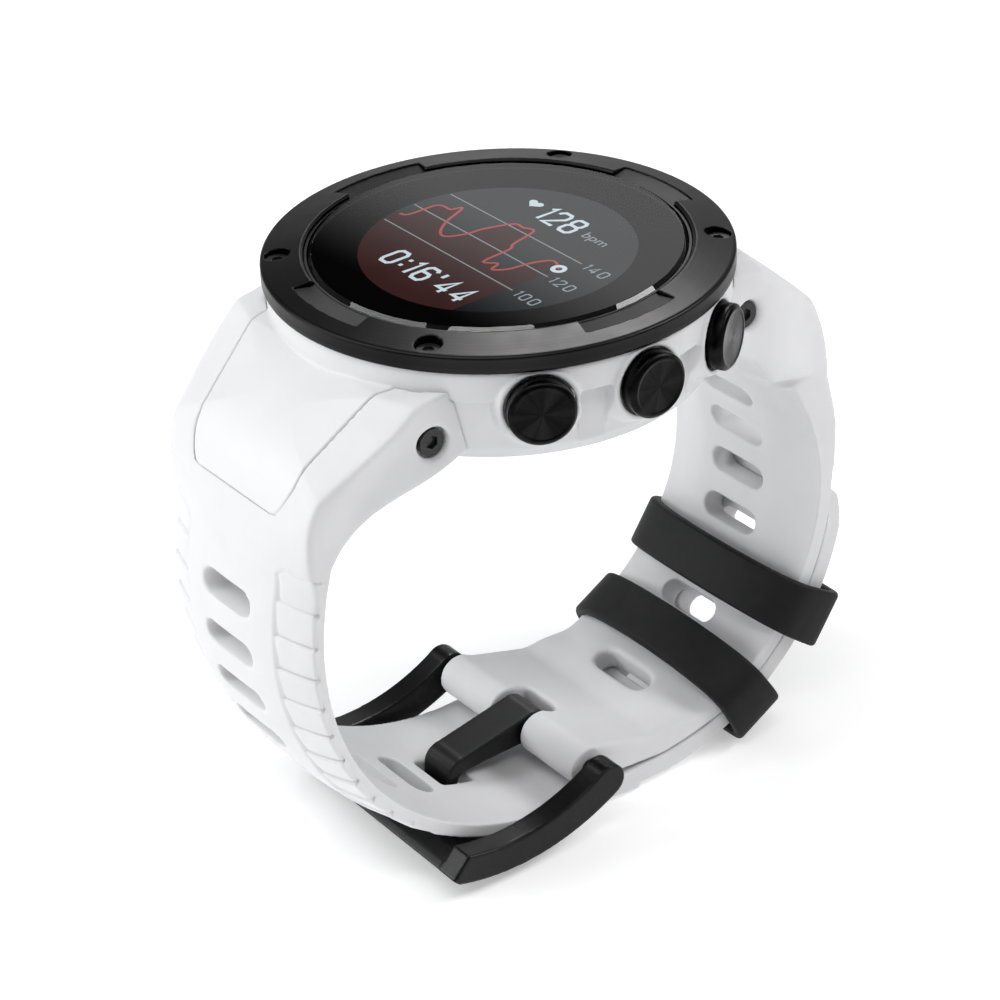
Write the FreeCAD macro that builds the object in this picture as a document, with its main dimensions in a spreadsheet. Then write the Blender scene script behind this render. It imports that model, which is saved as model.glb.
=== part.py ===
import FreeCAD, Part
import Sketcher
import math
import os

# A running watch on its closed strap loop.
# Millimetres. +Z is the display's normal, +Y points to 12 o'clock, +X to the side with three buttons.
# The origin is the centre of the back's flat sensor window.

Vec = FreeCAD.Vector
Rot = FreeCAD.Rotation
Place = FreeCAD.Placement

doc = FreeCAD.newDocument("running_watch")
sheet = doc.addObject("Spreadsheet::Sheet", "dims")

DIMENSIONS = [
    # case
    ("case_radius", 22.6), ("case_flank_radius", 21.3), ("case_top", 12.3), ("band_bottom", 9.5),
    ("cavity_radius", 19.6), ("cavity_top", 11.3), ("top_opening_radius", 17.2),
    ("case_bottom", 2.2), ("ledge_bottom", 3.6), ("ledge_top", 4.4), ("ledge_radius", 17.6),
    ("post_circle", 16.8), ("post_radius", 1.6), ("post_top", 6.3),
    # bezel, its clamp ring, glass and display stack
    ("bezel_radius", 23.0), ("bezel_inner_radius", 18.8), ("bezel_edge_top", 14.1),
    ("bezel_crown", 14.7), ("notch_radius", 20.9), ("notch_half_angle", 14.5), ("notch_depth", 1.6),
    ("bezel_screw_circle", 21.25), ("bezel_screw_angle", 54.5), ("bezel_recess_radius", 1.3),
    ("glass_radius", 18.35), ("glass_bottom", 12.6), ("glass_top", 14.6),
    ("gasket_radius", 17.5), ("display_radius", 16.6), ("display_bottom", 11.6), ("display_height", 0.7),
    ("backlight_height", 0.6), ("carrier_bottom", 9.9), ("carrier_height", 1.0),
    ("antenna_radius", 19.3), ("antenna_bottom", 10.05), ("antenna_height", 1.1),
    # electronics
    ("board_bottom", 6.4), ("board_thickness", 0.8), ("board_radius", 18.9),
    ("battery_length", 24.0), ("battery_width", 19.4), ("battery_height", 2.8), ("battery_bottom", 3.45),
    ("motor_x", -11.6), ("motor_y", -6.4), ("motor_radius", 3.9), ("motor_height", 2.6), ("motor_bottom", 3.5),
    # back
    ("cover_radius", 19.45), ("cover_bottom", 2.0), ("cover_top", 3.2),
    ("dome_radius", 14.0), ("dome_foot_radius", 11.0), ("dome_bottom", 0.5),
    ("window_radius", 8.6), ("window_height", 1.0),
    # buttons
    ("button_radius", 3.25), ("button_face", 24.3), ("button_seat", 21.9), ("button_height", 8.5),
    ("button_spacing", 28.0), ("stem_radius", 0.8), ("stem_inner", 18.75), ("stem_gap", 0.05),
    ("sleeve_radius", 1.5), ("collar_face", 22.75), ("collar_radius", 3.85), ("collar_foot_radius", 5.0),
    # lugs
    ("lug_pin_y", 19.0), ("lug_pin_z", 5.6), ("lug_insert_radius", 1.1), ("lug_insert_length", 1.5),
    ("lug_screw_recess", 1.65),
    ("fork_half_width", 15.0), ("hood_half_width", 10.4), ("crown_radius", 70.0),
    # strap loop: two arcs and the flat between them
    ("strap_half_width", 11.4), ("left_arc_y", -1.2), ("left_arc_z", -15.3), ("left_arc_radius", 29.6),
    ("left_outer_y", -3.4), ("left_outer_radius", 30.8),
    ("right_arc_y", 9.2), ("right_arc_z", -20.4), ("right_arc_radius", 21.5),
    ("layer_thickness", 2.9), ("layer_gap", 0.1), ("tail_thickness", 2.7),
    ("slot_half_width", 4.0), ("slot_half_length", 1.35), ("slot_pitch", 9.9), ("first_slot", 173.3),
    # buckle
    ("bar_y", 0.4), ("bar_z", -41.6), ("bar_radius", 0.8), ("roll_radius", 2.35),
    ("arm_inner", 12.9), ("arm_outer", 15.2), ("arm_head_radius", 1.9),
    ("tongue_half_width", 2.2), ("tongue_slot_half_width", 2.6), ("tongue_slot_half_length", 2.05),
    # keepers
    ("keeper_inner_half_width", 11.75), ("keeper_outer_half_width", 13.1), ("keeper_angle", 14.0),
    ("keeper_inner_radius", 20.0), ("keeper_outer_radius", 28.95), ("keeper_wall", 1.35),
    ("keeper_bow", 1.1), ("upper_keeper_at", -35.0), ("lower_keeper_at", -61.0),
]
for row, (alias, value) in enumerate(DIMENSIONS, start=1):
    sheet.set("A%d" % row, alias)
    sheet.set("B%d" % row, "%g" % value)
    sheet.setAlias("B%d" % row, alias)
doc.recompute()


def dim(alias):
    """A driving dimension as a plain number."""
    return float(getattr(sheet, alias))


def polar(centre_y, centre_z, radius, degrees):
    """A (y, z) point on a circle in the side view, the angle counted from +Y towards +Z."""
    turn = math.radians(degrees)
    return (centre_y + radius * math.cos(turn), centre_z + radius * math.sin(turn))


# ---------------------------------------------------------------- builders
NODES = []


def keep(item, node):
    """Give a finished sub-part its node name."""
    item.Label = node
    NODES.append((item, node))
    return item


def origin_plane(body, role):
    """One of a body's own origin planes."""
    return next(feature for feature in body.Origin.OriginFeatures if feature.Role == role)


def sketch_on(body, role, name):
    """An empty sketch on one of the body's origin planes."""
    sketch = body.newObject("Sketcher::SketchObject", name)
    sketch.AttachmentSupport = [(origin_plane(body, role), "")]
    sketch.MapMode = "FlatFace"
    return sketch


def add_circle(sketch, radius):
    """A circle on the origin whose radius is bound to an expression."""
    edge = sketch.addGeometry(Part.Circle(Vec(0, 0, 0), Vec(0, 0, 1), 1.0), False)
    sketch.addConstraint(Sketcher.Constraint("Coincident", edge, 3, -1, 1))
    number = sketch.addConstraint(Sketcher.Constraint("Radius", edge, 1.0))
    sketch.setExpression("Constraints[%d]" % number, radius)


def add_path(sketch, path):
    """A closed outline. Each entry is an end point, or a via point and an end point of an arc."""
    start = path[0]
    for step in path[1:] + [path[0]]:
        if len(step) == 2:
            end = step
            if math.dist(start, end) > 1e-6:
                sketch.addGeometry(Part.LineSegment(Vec(*start, 0), Vec(*end, 0)), False)
        else:
            end = (step[2], step[3])
            arc = Part.Arc(Vec(*start, 0), Vec(step[0], step[1], 0), Vec(*end, 0))
            sketch.addGeometry(arc, False)
        start = end


def add_polygon(sketch, corners):
    """A closed polygon whose corners are bound to pairs of expressions or numbers."""
    values = [(evaluate(across), evaluate(along)) for across, along in corners]
    lines = []
    for here, there in zip(values, values[1:] + values[:1]):
        lines.append(sketch.addGeometry(Part.LineSegment(Vec(*here, 0), Vec(*there, 0)), False))
    for line, following in zip(lines, lines[1:] + lines[:1]):
        sketch.addConstraint(Sketcher.Constraint("Coincident", line, 2, following, 1))
    for line, corner, value in zip(lines, corners, values):
        for kind, text, number in zip(("DistanceX", "DistanceY"), corner, value):
            place = sketch.addConstraint(Sketcher.Constraint(kind, -1, 1, line, 1, number))
            if isinstance(text, str):
                sketch.setExpression("Constraints[%d]" % place, text)


def evaluate(text):
    """The value of a corner's expression, read from the sheet."""
    if not isinstance(text, str):
        return float(text)
    total = 0.0
    for term in text.replace("-", "+-").split("+"):
        term = term.strip()
        if not term:
            continue
        sign = -1.0 if term.startswith("-") else 1.0
        term = term.lstrip("-").strip()
        total += sign * (dim(term[5:]) if term.startswith("dims.") else float(term))
    return total


def padded(name, role, length, draw, midplane=True):
    """A body padded from one sketch; draw fills the sketch, length is an expression."""
    body = doc.addObject("PartDesign::Body", name)
    sketch = sketch_on(body, role, name + "_sketch")
    draw(sketch)
    pad = body.newObject("PartDesign::Pad", name + "_pad")
    pad.Profile = sketch
    pad.setExpression("Length", length)
    pad.Midplane = midplane
    return body


def side_body(name, path, width):
    """An outline in the side view (y, z), padded both ways along X to a total width."""
    return padded(name, "YZ_Plane", width, lambda sketch: add_path(sketch, path))


def turned(name, corners, degrees=360.0):
    """An outline of (radius, height) corners turned about the body's Z axis."""
    body = doc.addObject("PartDesign::Body", name)
    sketch = sketch_on(body, "XZ_Plane", name + "_sketch")
    add_polygon(sketch, corners)
    spin = body.newObject("PartDesign::Revolution", name + "_turn")
    spin.Profile = sketch
    spin.ReferenceAxis = (sketch, ["V_Axis"])
    spin.Angle = degrees
    return body


def ring(name, outer, inner, bottom, height):
    """A flat ring or disc on the watch's axis, sizes given as expressions."""
    body = doc.addObject("PartDesign::Body", name)
    sketch = sketch_on(body, "XY_Plane", name + "_sketch")
    add_circle(sketch, outer)
    if inner:
        add_circle(sketch, inner)
    pad = body.newObject("PartDesign::Pad", name + "_pad")
    pad.Profile = sketch
    pad.setExpression("Length", height)
    body.setExpression("Placement.Base.z", bottom)
    return body


def cylinder(name, radius, height, position, direction=(0, 0, 1)):
    """A cylinder with a bound radius and height, its foot at a position."""
    item = doc.addObject("Part::Cylinder", name)
    item.setExpression("Radius", radius)
    item.setExpression("Height", height)
    item.Placement = Place(Vec(*position), Rot(Vec(0, 0, 1), Vec(*direction)))
    return item


def block(name, length, width, height, corner):
    """A box with bound edges, one corner at a position."""
    item = doc.addObject("Part::Box", name)
    item.setExpression("Length", length)
    item.setExpression("Width", width)
    item.setExpression("Height", height)
    item.Placement = Place(Vec(*corner), Rot())
    return item


def fused(name, items):
    """Several solids joined into one."""
    item = doc.addObject("Part::MultiFuse", name)
    item.Shapes = items
    item.Refine = True
    return item


def group(name, items):
    """Several separate solids held as one sub-part."""
    item = doc.addObject("Part::Compound", name)
    item.Links = items
    return item


def cut(name, base, tool):
    """One solid less another."""
    item = doc.addObject("Part::Cut", name)
    item.Base = base
    item.Tool = tool
    item.Refine = True
    return item


def common(name, base, tool):
    """What two solids share."""
    item = doc.addObject("Part::Common", name)
    item.Base = base
    item.Tool = tool
    item.Refine = True
    return item


def around(degrees, radius, height):
    """A point on a circle about the watch's axis."""
    turn = math.radians(degrees)
    return (radius * math.cos(turn), radius * math.sin(turn), height)


def outward(degrees):
    """The direction away from the watch's axis."""
    turn = math.radians(degrees)
    return (math.cos(turn), math.sin(turn), 0)


# ---------------------------------------------------------------- buttons
BUTTONS = {
    "upper_right": dim("button_spacing"), "middle_right": 0.0, "lower_right": -dim("button_spacing"),
    "upper_left": 180.0 - dim("button_spacing"), "lower_left": 180.0 + dim("button_spacing"),
}


def radial_place(degrees):
    """A body's own Z axis laid along a button's axis."""
    return Place(Vec(0, 0, dim("button_height")), Rot(Vec(0, 0, 1), Vec(*outward(degrees))))


def button(side, degrees):
    """A pusher: a wide head with a chamfered rim and a stem with a clip groove."""
    groove_out = "dims.stem_inner + 0.6"
    groove_in = "dims.stem_inner + 0.2"
    item = turned("button_" + side, [
        (0, "dims.stem_inner"), ("dims.stem_radius", "dims.stem_inner"), ("dims.stem_radius", groove_in),
        (0.5, groove_in), (0.5, groove_out), ("dims.stem_radius", groove_out),
        ("dims.stem_radius", "dims.button_seat"), ("dims.button_radius", "dims.button_seat"),
        ("dims.button_radius", "dims.button_face - 0.3"), ("dims.button_radius - 0.3", "dims.button_face"),
        (0, "dims.button_face"),
    ])
    item.Placement = radial_place(degrees)
    return keep(item, "button_" + side)


def button_clip(side, degrees):
    """The spring clip that keeps a stem from falling out, in the stem's groove."""
    item = turned("button_clip_" + side, [
        (0.55, "dims.stem_inner + 0.25"), (1.2, "dims.stem_inner + 0.25"),
        (1.2, "dims.stem_inner + 0.55"), (0.55, "dims.stem_inner + 0.55"),
    ])
    item.Placement = radial_place(degrees)
    return keep(item, "button_clip_" + side)


def button_sleeve(side, degrees):
    """A metal guide pressed into the case wall, bored for the stem and the seal."""
    item = turned("sleeve_" + side, [
        ("dims.stem_radius + dims.stem_gap", 19.45), ("dims.sleeve_radius", 19.45), ("dims.sleeve_radius", 21.1),
        (1.3, 21.1), (1.3, 20.4), ("dims.stem_radius + dims.stem_gap", 20.4),
    ])
    item.Placement = radial_place(degrees)
    return item


def button_seal(side, degrees):
    """An O-ring round the stem, in the sleeve's mouth."""
    item = doc.addObject("Part::Torus", "seal_" + side)
    item.setExpression("Radius1", "dims.stem_radius + dims.stem_gap + 0.22")
    item.Radius2 = 0.2
    position = Vec(*outward(degrees)) * 20.75 + Vec(0, 0, dim("button_height"))
    item.Placement = Place(position, Rot(Vec(0, 0, 1), Vec(*outward(degrees))))
    return item


def tactile_switch(side, degrees):
    """A side-push switch on the board's edge: body and plunger."""
    body = block("switch_body_" + side, "1.8", "3.6", "2.2", (0, 0, 0))
    turn = Rot(Vec(0, 0, 1), degrees)
    corner = turn.multVec(Vec(15.8, -1.8, 0)) + Vec(0, 0, dim("board_bottom") + dim("board_thickness"))
    body.Placement = Place(corner, turn)
    plunger = cylinder("switch_plunger_" + side, "0.6", "0.5", around(degrees, 17.6, dim("button_height")),
                       outward(degrees))
    return fused("switch_" + side, [body, plunger])


for side, degrees in BUTTONS.items():
    button(side, degrees)
    button_clip(side, degrees)
keep(group("sleeves", [button_sleeve(side, at) for side, at in BUTTONS.items()]), "button_sleeves")
keep(group("seals", [button_seal(side, at) for side, at in BUTTONS.items()]), "button_seals")
keep(group("switches", [tactile_switch(side, at) for side, at in BUTTONS.items()]), "tactile_switches")


# ---------------------------------------------------------------- lug outlines
def mirrored(path, side):
    """The side-view outline for the 12 o'clock (+1) or the 6 o'clock (-1) end."""
    flipped = []
    for step in path:
        flipped.append(tuple(value * side if index % 2 == 0 else value for index, value in enumerate(step)))
    return flipped


# the hood's top line runs down and out from the case band and ends in a steeper tip
HOOD_PATH = [(15.0, 3.9), (22.8, 3.0), (22.8, 6.2), (28.4, 1.1), (30.3, -1.7), (31.85, -0.7),
             (29.0, 4.4, 22.0, 9.9), (15.0, 10.6)]


def crown_tool(side):
    """A wide cylinder lying along the hood's slope; its top rounds the hood and the fork crosswise."""
    slope = math.radians(41.0)
    along = Vec(0, side * math.cos(slope), -math.sin(slope))
    normal = Vec(0, side * math.sin(slope), math.cos(slope))
    on_top = Vec(0, side * 26.3, 7.3)
    foot = on_top - normal * dim("crown_radius") - along * 60.0
    return cylinder("crown_%s" % name_of(side), "dims.crown_radius", "120", tuple(foot), tuple(along))


def name_of(side):
    """The name of a strap end."""
    return "upper" if side > 0 else "lower"


def hood_plan(side, gap):
    """The hood seen from above, narrowing to a rounded end; gap widens it for the strap's recess."""
    wide = dim("hood_half_width") + gap
    narrow = wide - 2.0
    end = 34.0
    path = [(-wide - 0.6, side * 14.0), (wide + 0.6, side * 14.0), (wide, side * 20.5),
            (narrow, side * 29.2), (narrow - 0.6, side * 31.0, narrow - 2.2, side * (31.75 + gap)),
            (narrow - 2.2, side * end), (-narrow + 2.2, side * end), (-narrow + 2.2, side * (31.75 + gap)),
            (-narrow + 0.6, side * 31.0, -narrow, side * 29.2), (-wide, side * 20.5)]
    return path


def hood_block(side, name):
    """The case's centre lug with its hood, between the strap's fork arms."""
    profile = side_body(name + "_profile", mirrored(HOOD_PATH, side), "2 * dims.fork_half_width")
    plan = padded(name + "_plan", "XY_Plane", "60", lambda sketch: add_path(sketch, hood_plan(side, 0.0)))
    return common(name, profile, plan)


# ---------------------------------------------------------------- case
def button_collar(side, degrees):
    """A flared boss round a button."""
    item = doc.addObject("Part::Cone", "collar_" + side)
    item.setExpression("Radius1", "dims.collar_foot_radius")
    item.setExpression("Radius2", "dims.collar_radius")
    item.setExpression("Height", "dims.collar_face - 20.5")
    item.Placement = Place(Vec(*around(degrees, 20.5, dim("button_height"))),
                           Rot(Vec(0, 0, 1), Vec(*outward(degrees))))
    below_bezel = cylinder("collar_limit_" + side, "dims.case_radius + 1", "dims.case_top - 3.5", (0, 0, 3.3))
    return common("collar_trimmed_" + side, item, below_bezel)


def button_bores(side, degrees):
    """The counterbore for a button's head and the hole for its sleeve."""
    head = cylinder("head_bore_" + side, "dims.button_radius + 0.15", "3",
                    around(degrees, 21.2, dim("button_height")), outward(degrees))
    hole = cylinder("stem_bore_" + side, "dims.sleeve_radius", "4",
                    around(degrees, 18.0, dim("button_height")), outward(degrees))
    return [head, hole]


def flank_pocket(name, degrees):
    """A shallow trapezoid pocket in the flank between two buttons."""
    item = padded(name, "YZ_Plane", "3", lambda sketch: add_path(
        sketch, [(-1.9, 9.3), (1.7, 9.3), (1.3, 5.0), (1.6, 2.0), (-1.6, 2.0), (-1.5, 5.0)]))
    item.Placement = Place(Vec(*around(degrees, 22.65, 0)), Rot(Vec(0, 0, 1), degrees))
    return item


def back_opening():
    """The cavity with its top opening and the seat of the back cover."""
    return turned("cavity", [
        (0, -1), (19.65, -1), (19.65, "dims.ledge_bottom"), ("dims.ledge_radius", "dims.ledge_bottom"),
        ("dims.ledge_radius", "dims.ledge_top"), ("dims.cavity_radius", "dims.ledge_top"),
        ("dims.cavity_radius", "dims.cavity_top"), ("dims.top_opening_radius", "dims.cavity_top"),
        ("dims.top_opening_radius", "dims.case_top + 1"), (0, "dims.case_top + 1"),
    ])


def case_outside():
    """The round outside with its upright band, tapering flank and chamfered foot."""
    return turned("case_outside", [
        (0, "dims.case_bottom"), (20.3, "dims.case_bottom"), ("dims.case_flank_radius - 0.3", 3.1),
        ("dims.case_flank_radius", 3.7), ("dims.case_radius - 0.4", 9.1), ("dims.case_radius", "dims.band_bottom"),
        ("dims.case_radius", "dims.case_top - 0.2"), ("dims.case_radius - 0.2", "dims.case_top"),
        (0, "dims.case_top"),
    ])


CROWN = {side: crown_tool(side) for side in (1, -1)}
LUG_CORNERS = [(side, end) for side in (1, -1) for end in (1, -1)]
INSERT_FOOT = 9.0


def lug_point(side, end, reach):
    """A point on a lug screw's axis, at a distance from the watch's middle plane."""
    return (end * reach, side * dim("lug_pin_y"), dim("lug_pin_z"))


POST_ANGLES = (0.0, 90.0, 180.0, 270.0)


def case_body():
    """The one-piece plastic case: band, lugs with hoods, collars, pockets and screw posts."""
    lugs = [common("lug_" + name_of(side), hood_block(side, "hood_" + name_of(side)), CROWN[side])
            for side in (1, -1)]
    collars = [button_collar(side, degrees) for side, degrees in BUTTONS.items()]
    outside = fused("case_solid", [case_outside()] + lugs + collars)
    pockets = [flank_pocket("pocket_%d" % index, degrees) for index, degrees in enumerate((14.0, -14.0, 180.0))]
    bores = []
    for side, degrees in BUTTONS.items():
        bores += button_bores(side, degrees)
    pins = [cylinder("lug_bore_%d" % index, "dims.lug_insert_radius", "4", lug_point(side, end, INSERT_FOOT),
                     (end, 0, 0)) for index, (side, end) in enumerate(LUG_CORNERS)]
    screw_holes = [cylinder("case_screw_bore_%d" % index, "0.55", "1.2", around(at, dim("bezel_screw_circle"), 11.2))
                   for index, at in enumerate(BEZEL_SCREWS)]
    hollow = cut("case_hollow", outside, fused("case_tools", [back_opening()] + pockets + bores + pins + screw_holes))
    posts = []
    for index, degrees in enumerate(POST_ANGLES):
        post = cylinder("post_%d" % index, "dims.post_radius", "dims.post_top - dims.ledge_bottom",
                        around(degrees, dim("post_circle"), dim("ledge_bottom")))
        bore = cylinder("post_bore_%d" % index, "0.5", "4", around(degrees, dim("post_circle"), 3.0))
        posts.append(cut("bored_post_%d" % index, post, bore))
    return keep(fused("case", [hollow] + posts), "case_body")


BEZEL_SCREWS = [quarter + sign * dim("bezel_screw_angle") for quarter in (0.0, 180.0) for sign in (1, -1)]
case_body()


# ---------------------------------------------------------------- bezel and display stack
def sector(name, inner, outer, bottom, height, half_angle, degrees):
    """A ring segment between two radii, centred on an angle."""
    reach = math.radians(half_angle)
    first = (inner * math.cos(reach), -inner * math.sin(reach))
    second = (outer * math.cos(reach), -outer * math.sin(reach))
    path = [first, second, (outer, 0.0, second[0], -second[1]), (first[0], -first[1]),
            (inner, 0.0, first[0], first[1])]
    item = padded(name, "XY_Plane", "%g" % height, lambda sketch: add_path(sketch, path), midplane=False)
    item.Placement = Place(Vec(0, 0, bottom), Rot(Vec(0, 0, 1), degrees))
    return item


def bezel_ring():
    """The metal bezel: sloped top, four inner notches and four screw recesses."""
    blank = turned("bezel_blank", [
        ("dims.bezel_radius - 0.1", "dims.case_top"), ("dims.bezel_radius", "dims.case_top + 0.15"),
        ("dims.bezel_radius", "dims.bezel_edge_top - 0.2"), ("dims.bezel_radius - 0.2", "dims.bezel_edge_top"),
        ("dims.bezel_inner_radius + 0.25", "dims.bezel_crown"),
        ("dims.bezel_inner_radius", "dims.bezel_crown - 0.2"), ("dims.bezel_inner_radius", 13.25),
        (21.05, 13.25), (21.05, "dims.case_top"),
    ])
    tools = []
    for index in range(4):
        tools.append(sector("notch_%d" % index, dim("bezel_inner_radius") - 1, dim("notch_radius"),
                            dim("bezel_crown") - dim("notch_depth"), 3.0, dim("notch_half_angle"), 90.0 * index))
    for index, degrees in enumerate(BEZEL_SCREWS):
        tools.append(cylinder("recess_%d" % index, "dims.bezel_recess_radius", "2",
                              around(degrees, dim("bezel_screw_circle"), 13.35)))
        tools.append(cylinder("bezel_bore_%d" % index, "0.65", "3",
                              around(degrees, dim("bezel_screw_circle"), 11.5)))
    return keep(cut("bezel", blank, fused("bezel_tools", tools)), "bezel_ring")


def clamp_ring():
    """The ring that holds the glass down, with four tabs that fill the bezel's notches."""
    base = turned("clamp_base", [
        ("dims.glass_radius + 0.1", "dims.case_top"), (20.95, "dims.case_top"), (20.95, 13.2),
        (18.7, 13.2), (18.7, 14.3), ("dims.glass_radius + 0.1", 14.3),
    ])
    tabs = [sector("tab_%d" % index, 18.6, dim("notch_radius") - 0.08, 13.1, 1.15,
                   dim("notch_half_angle") - 0.25, 90.0 * index) for index in range(4)]
    relief = [cylinder("clamp_relief_%d" % index, "0.75", "3", around(at, dim("bezel_screw_circle"), 11.5))
              for index, at in enumerate(BEZEL_SCREWS)]
    whole = fused("clamp_whole", [base] + tabs)
    return keep(cut("clamp", whole, fused("clamp_relief", relief)), "glass_clamp_ring")


def hex_socket(name, across, depth, position, direction):
    """A small hexagon socket for a screw head."""
    item = doc.addObject("Part::Prism", name)
    item.Polygon = 6
    item.Circumradius = across
    item.Height = depth
    item.Placement = Place(Vec(*position), Rot(Vec(0, 0, 1), Vec(*direction)))
    return item


def screw(name, head_radius, head_height, shank_radius, shank_length, seat, direction):
    """A screw: head above its seat, shank below it, hexagon socket in the head."""
    away = Vec(*direction)
    foot = Vec(*seat) - away * shank_length
    shank = cylinder(name + "_shank", "%g" % shank_radius, "%g" % (shank_length + 0.1), tuple(foot), direction)
    head = cylinder(name + "_head", "%g" % head_radius, "%g" % head_height, seat, direction)
    socket = hex_socket(name + "_socket", head_radius * 0.52, head_height,
                        tuple(Vec(*seat) + away * head_height * 0.45), direction)
    return cut(name, fused(name + "_body", [shank, head]), socket)


def display_stack():
    """Gasket, glass, display, backlight, carrier frame and antenna under the bezel."""
    keep(ring("gasket", "dims.glass_radius - 0.1", "dims.gasket_radius", "dims.case_top",
              "dims.glass_bottom - dims.case_top"), "glass_gasket")
    glass = turned("glass", [
        (0, "dims.glass_bottom"), ("dims.glass_radius", "dims.glass_bottom"),
        ("dims.glass_radius", "dims.glass_top - 0.35"), ("dims.glass_radius - 0.35", "dims.glass_top"),
        (0, "dims.glass_top"),
    ])
    keep(glass, "display_glass")
    keep(ring("panel", "dims.display_radius", None, "dims.display_bottom", "dims.display_height"), "display_panel")
    keep(ring("backlight", "dims.display_radius - 0.2", None, "dims.display_bottom - dims.backlight_height",
              "dims.backlight_height"), "backlight_plate")
    keep(ring("carrier", "dims.display_radius + 0.6", "dims.display_radius - 3", "dims.carrier_bottom",
              "dims.carrier_height"), "display_carrier")
    keep(ring("antenna", "dims.antenna_radius", "dims.antenna_radius - 0.5", "dims.antenna_bottom",
              "dims.antenna_height"), "antenna_ring")


bezel_ring()
clamp_ring()
keep(group("bezel_screw_set", [
    screw("bezel_screw_%d" % index, 1.15, 0.45, 0.5, 1.9, around(at, dim("bezel_screw_circle"), 13.35), (0, 0, 1))
    for index, at in enumerate(BEZEL_SCREWS)]), "bezel_screws")
display_stack()


# ---------------------------------------------------------------- electronics and back
def circuit_board():
    """The round main board on the posts, with three screw holes."""
    disc = ring("board_disc", "dims.board_radius", None, "dims.board_bottom", "dims.board_thickness")
    holes = [cylinder("board_hole_%d" % index, "0.65", "3", around(at, dim("post_circle"), 5.5))
             for index, at in enumerate(POST_ANGLES[1:])]
    return keep(cut("board", disc, fused("board_holes", holes)), "main_circuit_board")


def shield_can():
    """The pressed can over the processor and radio."""
    top = dim("board_bottom") + dim("board_thickness")
    outside = block("shield_outside", "13", "15", "1.9", (-6.5, -7.5, top))
    inside = block("shield_inside", "12.4", "14.4", "1.6", (-6.2, -7.2, top))
    return keep(cut("shield", outside, inside), "processor_shield")


def battery():
    """The flat pouch cell."""
    cell = block("cell", "dims.battery_width", "dims.battery_length", "dims.battery_height",
                 (-6.9, -12.0, dim("battery_bottom")))
    item = doc.addObject("Part::Fillet", "cell_rounded")
    item.Base = cell
    doc.recompute()
    upright = [number for number, edge in enumerate(cell.Shape.Edges, start=1)
               if abs(edge.tangentAt(edge.FirstParameter).z) > 0.99]
    item.Edges = [(number, 2.0, 2.0) for number in upright]
    return keep(item, "battery")


def vibration_motor():
    """A coin motor: base with its shaft, eccentric rotor and pressed cover."""
    place = Place(Vec(dim("motor_x"), dim("motor_y"), dim("motor_bottom")), Rot())
    base = turned("motor_base", [
        (0, 0), ("dims.motor_radius", 0), ("dims.motor_radius", 0.3), (0.35, 0.3), (0.35, 2.1), (0, 2.1)])
    base.Placement = place
    keep(base, "vibration_motor_base")
    cover = turned("motor_cover", [
        ("dims.motor_radius - 0.2", 0.3), ("dims.motor_radius", 0.3), ("dims.motor_radius", "dims.motor_height"),
        (0, "dims.motor_height"), (0, "dims.motor_height - 0.2"),
        ("dims.motor_radius - 0.2", "dims.motor_height - 0.2")])
    cover.Placement = place
    keep(cover, "vibration_motor_cover")
    hub = turned("rotor_hub", [(0.4, 0.6), (1.2, 0.6), (1.2, 1.9), (0.4, 1.9)])
    weight = turned("rotor_weight", [(1.0, 0.7), (3.3, 0.7), (3.3, 1.8), (1.0, 1.8)], 170.0)
    rotor = fused("rotor", [hub, weight])
    rotor.Placement = place
    return keep(rotor, "vibration_rotor")


def back_parts():
    """The back cover with its dome, the gasket, the sensor window, its board, lights and contacts."""
    cover = turned("cover_blank", [
        ("dims.window_radius - 0.8", "dims.window_height"), ("dims.window_radius + 0.1", "dims.window_height"),
        ("dims.window_radius + 0.1", "dims.dome_bottom - 0.3"), ("dims.dome_foot_radius", "dims.dome_bottom - 0.2"),
        ("dims.dome_radius", 1.6), ("dims.dome_radius + 0.6", "dims.cover_bottom"),
        ("dims.cover_radius", "dims.cover_bottom"), ("dims.cover_radius", "dims.cover_top"),
        ("dims.dome_radius - 1", "dims.cover_top"), ("dims.dome_radius - 1", 2.4),
        ("dims.dome_foot_radius - 1", 1.7), ("dims.window_radius - 0.8", 1.7),
    ])
    bores = []
    for index, at in enumerate(POST_ANGLES):
        bores.append(cylinder("cover_bore_%d" % index, "0.65", "3", around(at, dim("post_circle"), 1.0)))
        bores.append(cylinder("cover_recess_%d" % index, "1.2", "1", around(at, dim("post_circle"), 1.6)))
    for index in range(4):
        bores.append(cylinder("contact_bore_%d" % index, "0.62", "3", (10.2, (index - 1.5) * 2.2, 0)))
    keep(cut("cover", cover, fused("cover_tools", bores)), "back_cover")
    keep(ring("back_gasket_ring", "dims.cover_radius - 0.2", "dims.ledge_radius + 0.9", "dims.cover_top",
              "dims.ledge_bottom - dims.cover_top"), "back_gasket")
    keep(turned("window", [(0, 0), ("dims.window_radius - 0.3", 0), ("dims.window_radius", 0.3),
                           ("dims.window_radius", "dims.window_height"), (0, "dims.window_height")]), "sensor_window")
    keep(ring("sensor_disc", "dims.dome_foot_radius - 1.4", None, "1.75", "0.6"), "sensor_board")
    lights = [cylinder("light_%d" % index, "0.9", "0.6", around(90.0 * index + 45.0, 4.4, 1.15))
              for index in range(3)]
    lights.append(block("photodiode", "2.6", "2.6", "0.6", (-1.3, -1.3, 1.15)))
    keep(group("lights", lights), "sensor_lights")
    contacts = [cylinder("contact_%d" % index, "0.6", "1.5", (10.2, (index - 1.5) * 2.2, 0.25))
                for index in range(4)]
    keep(group("contacts", contacts), "charging_contacts")


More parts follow.
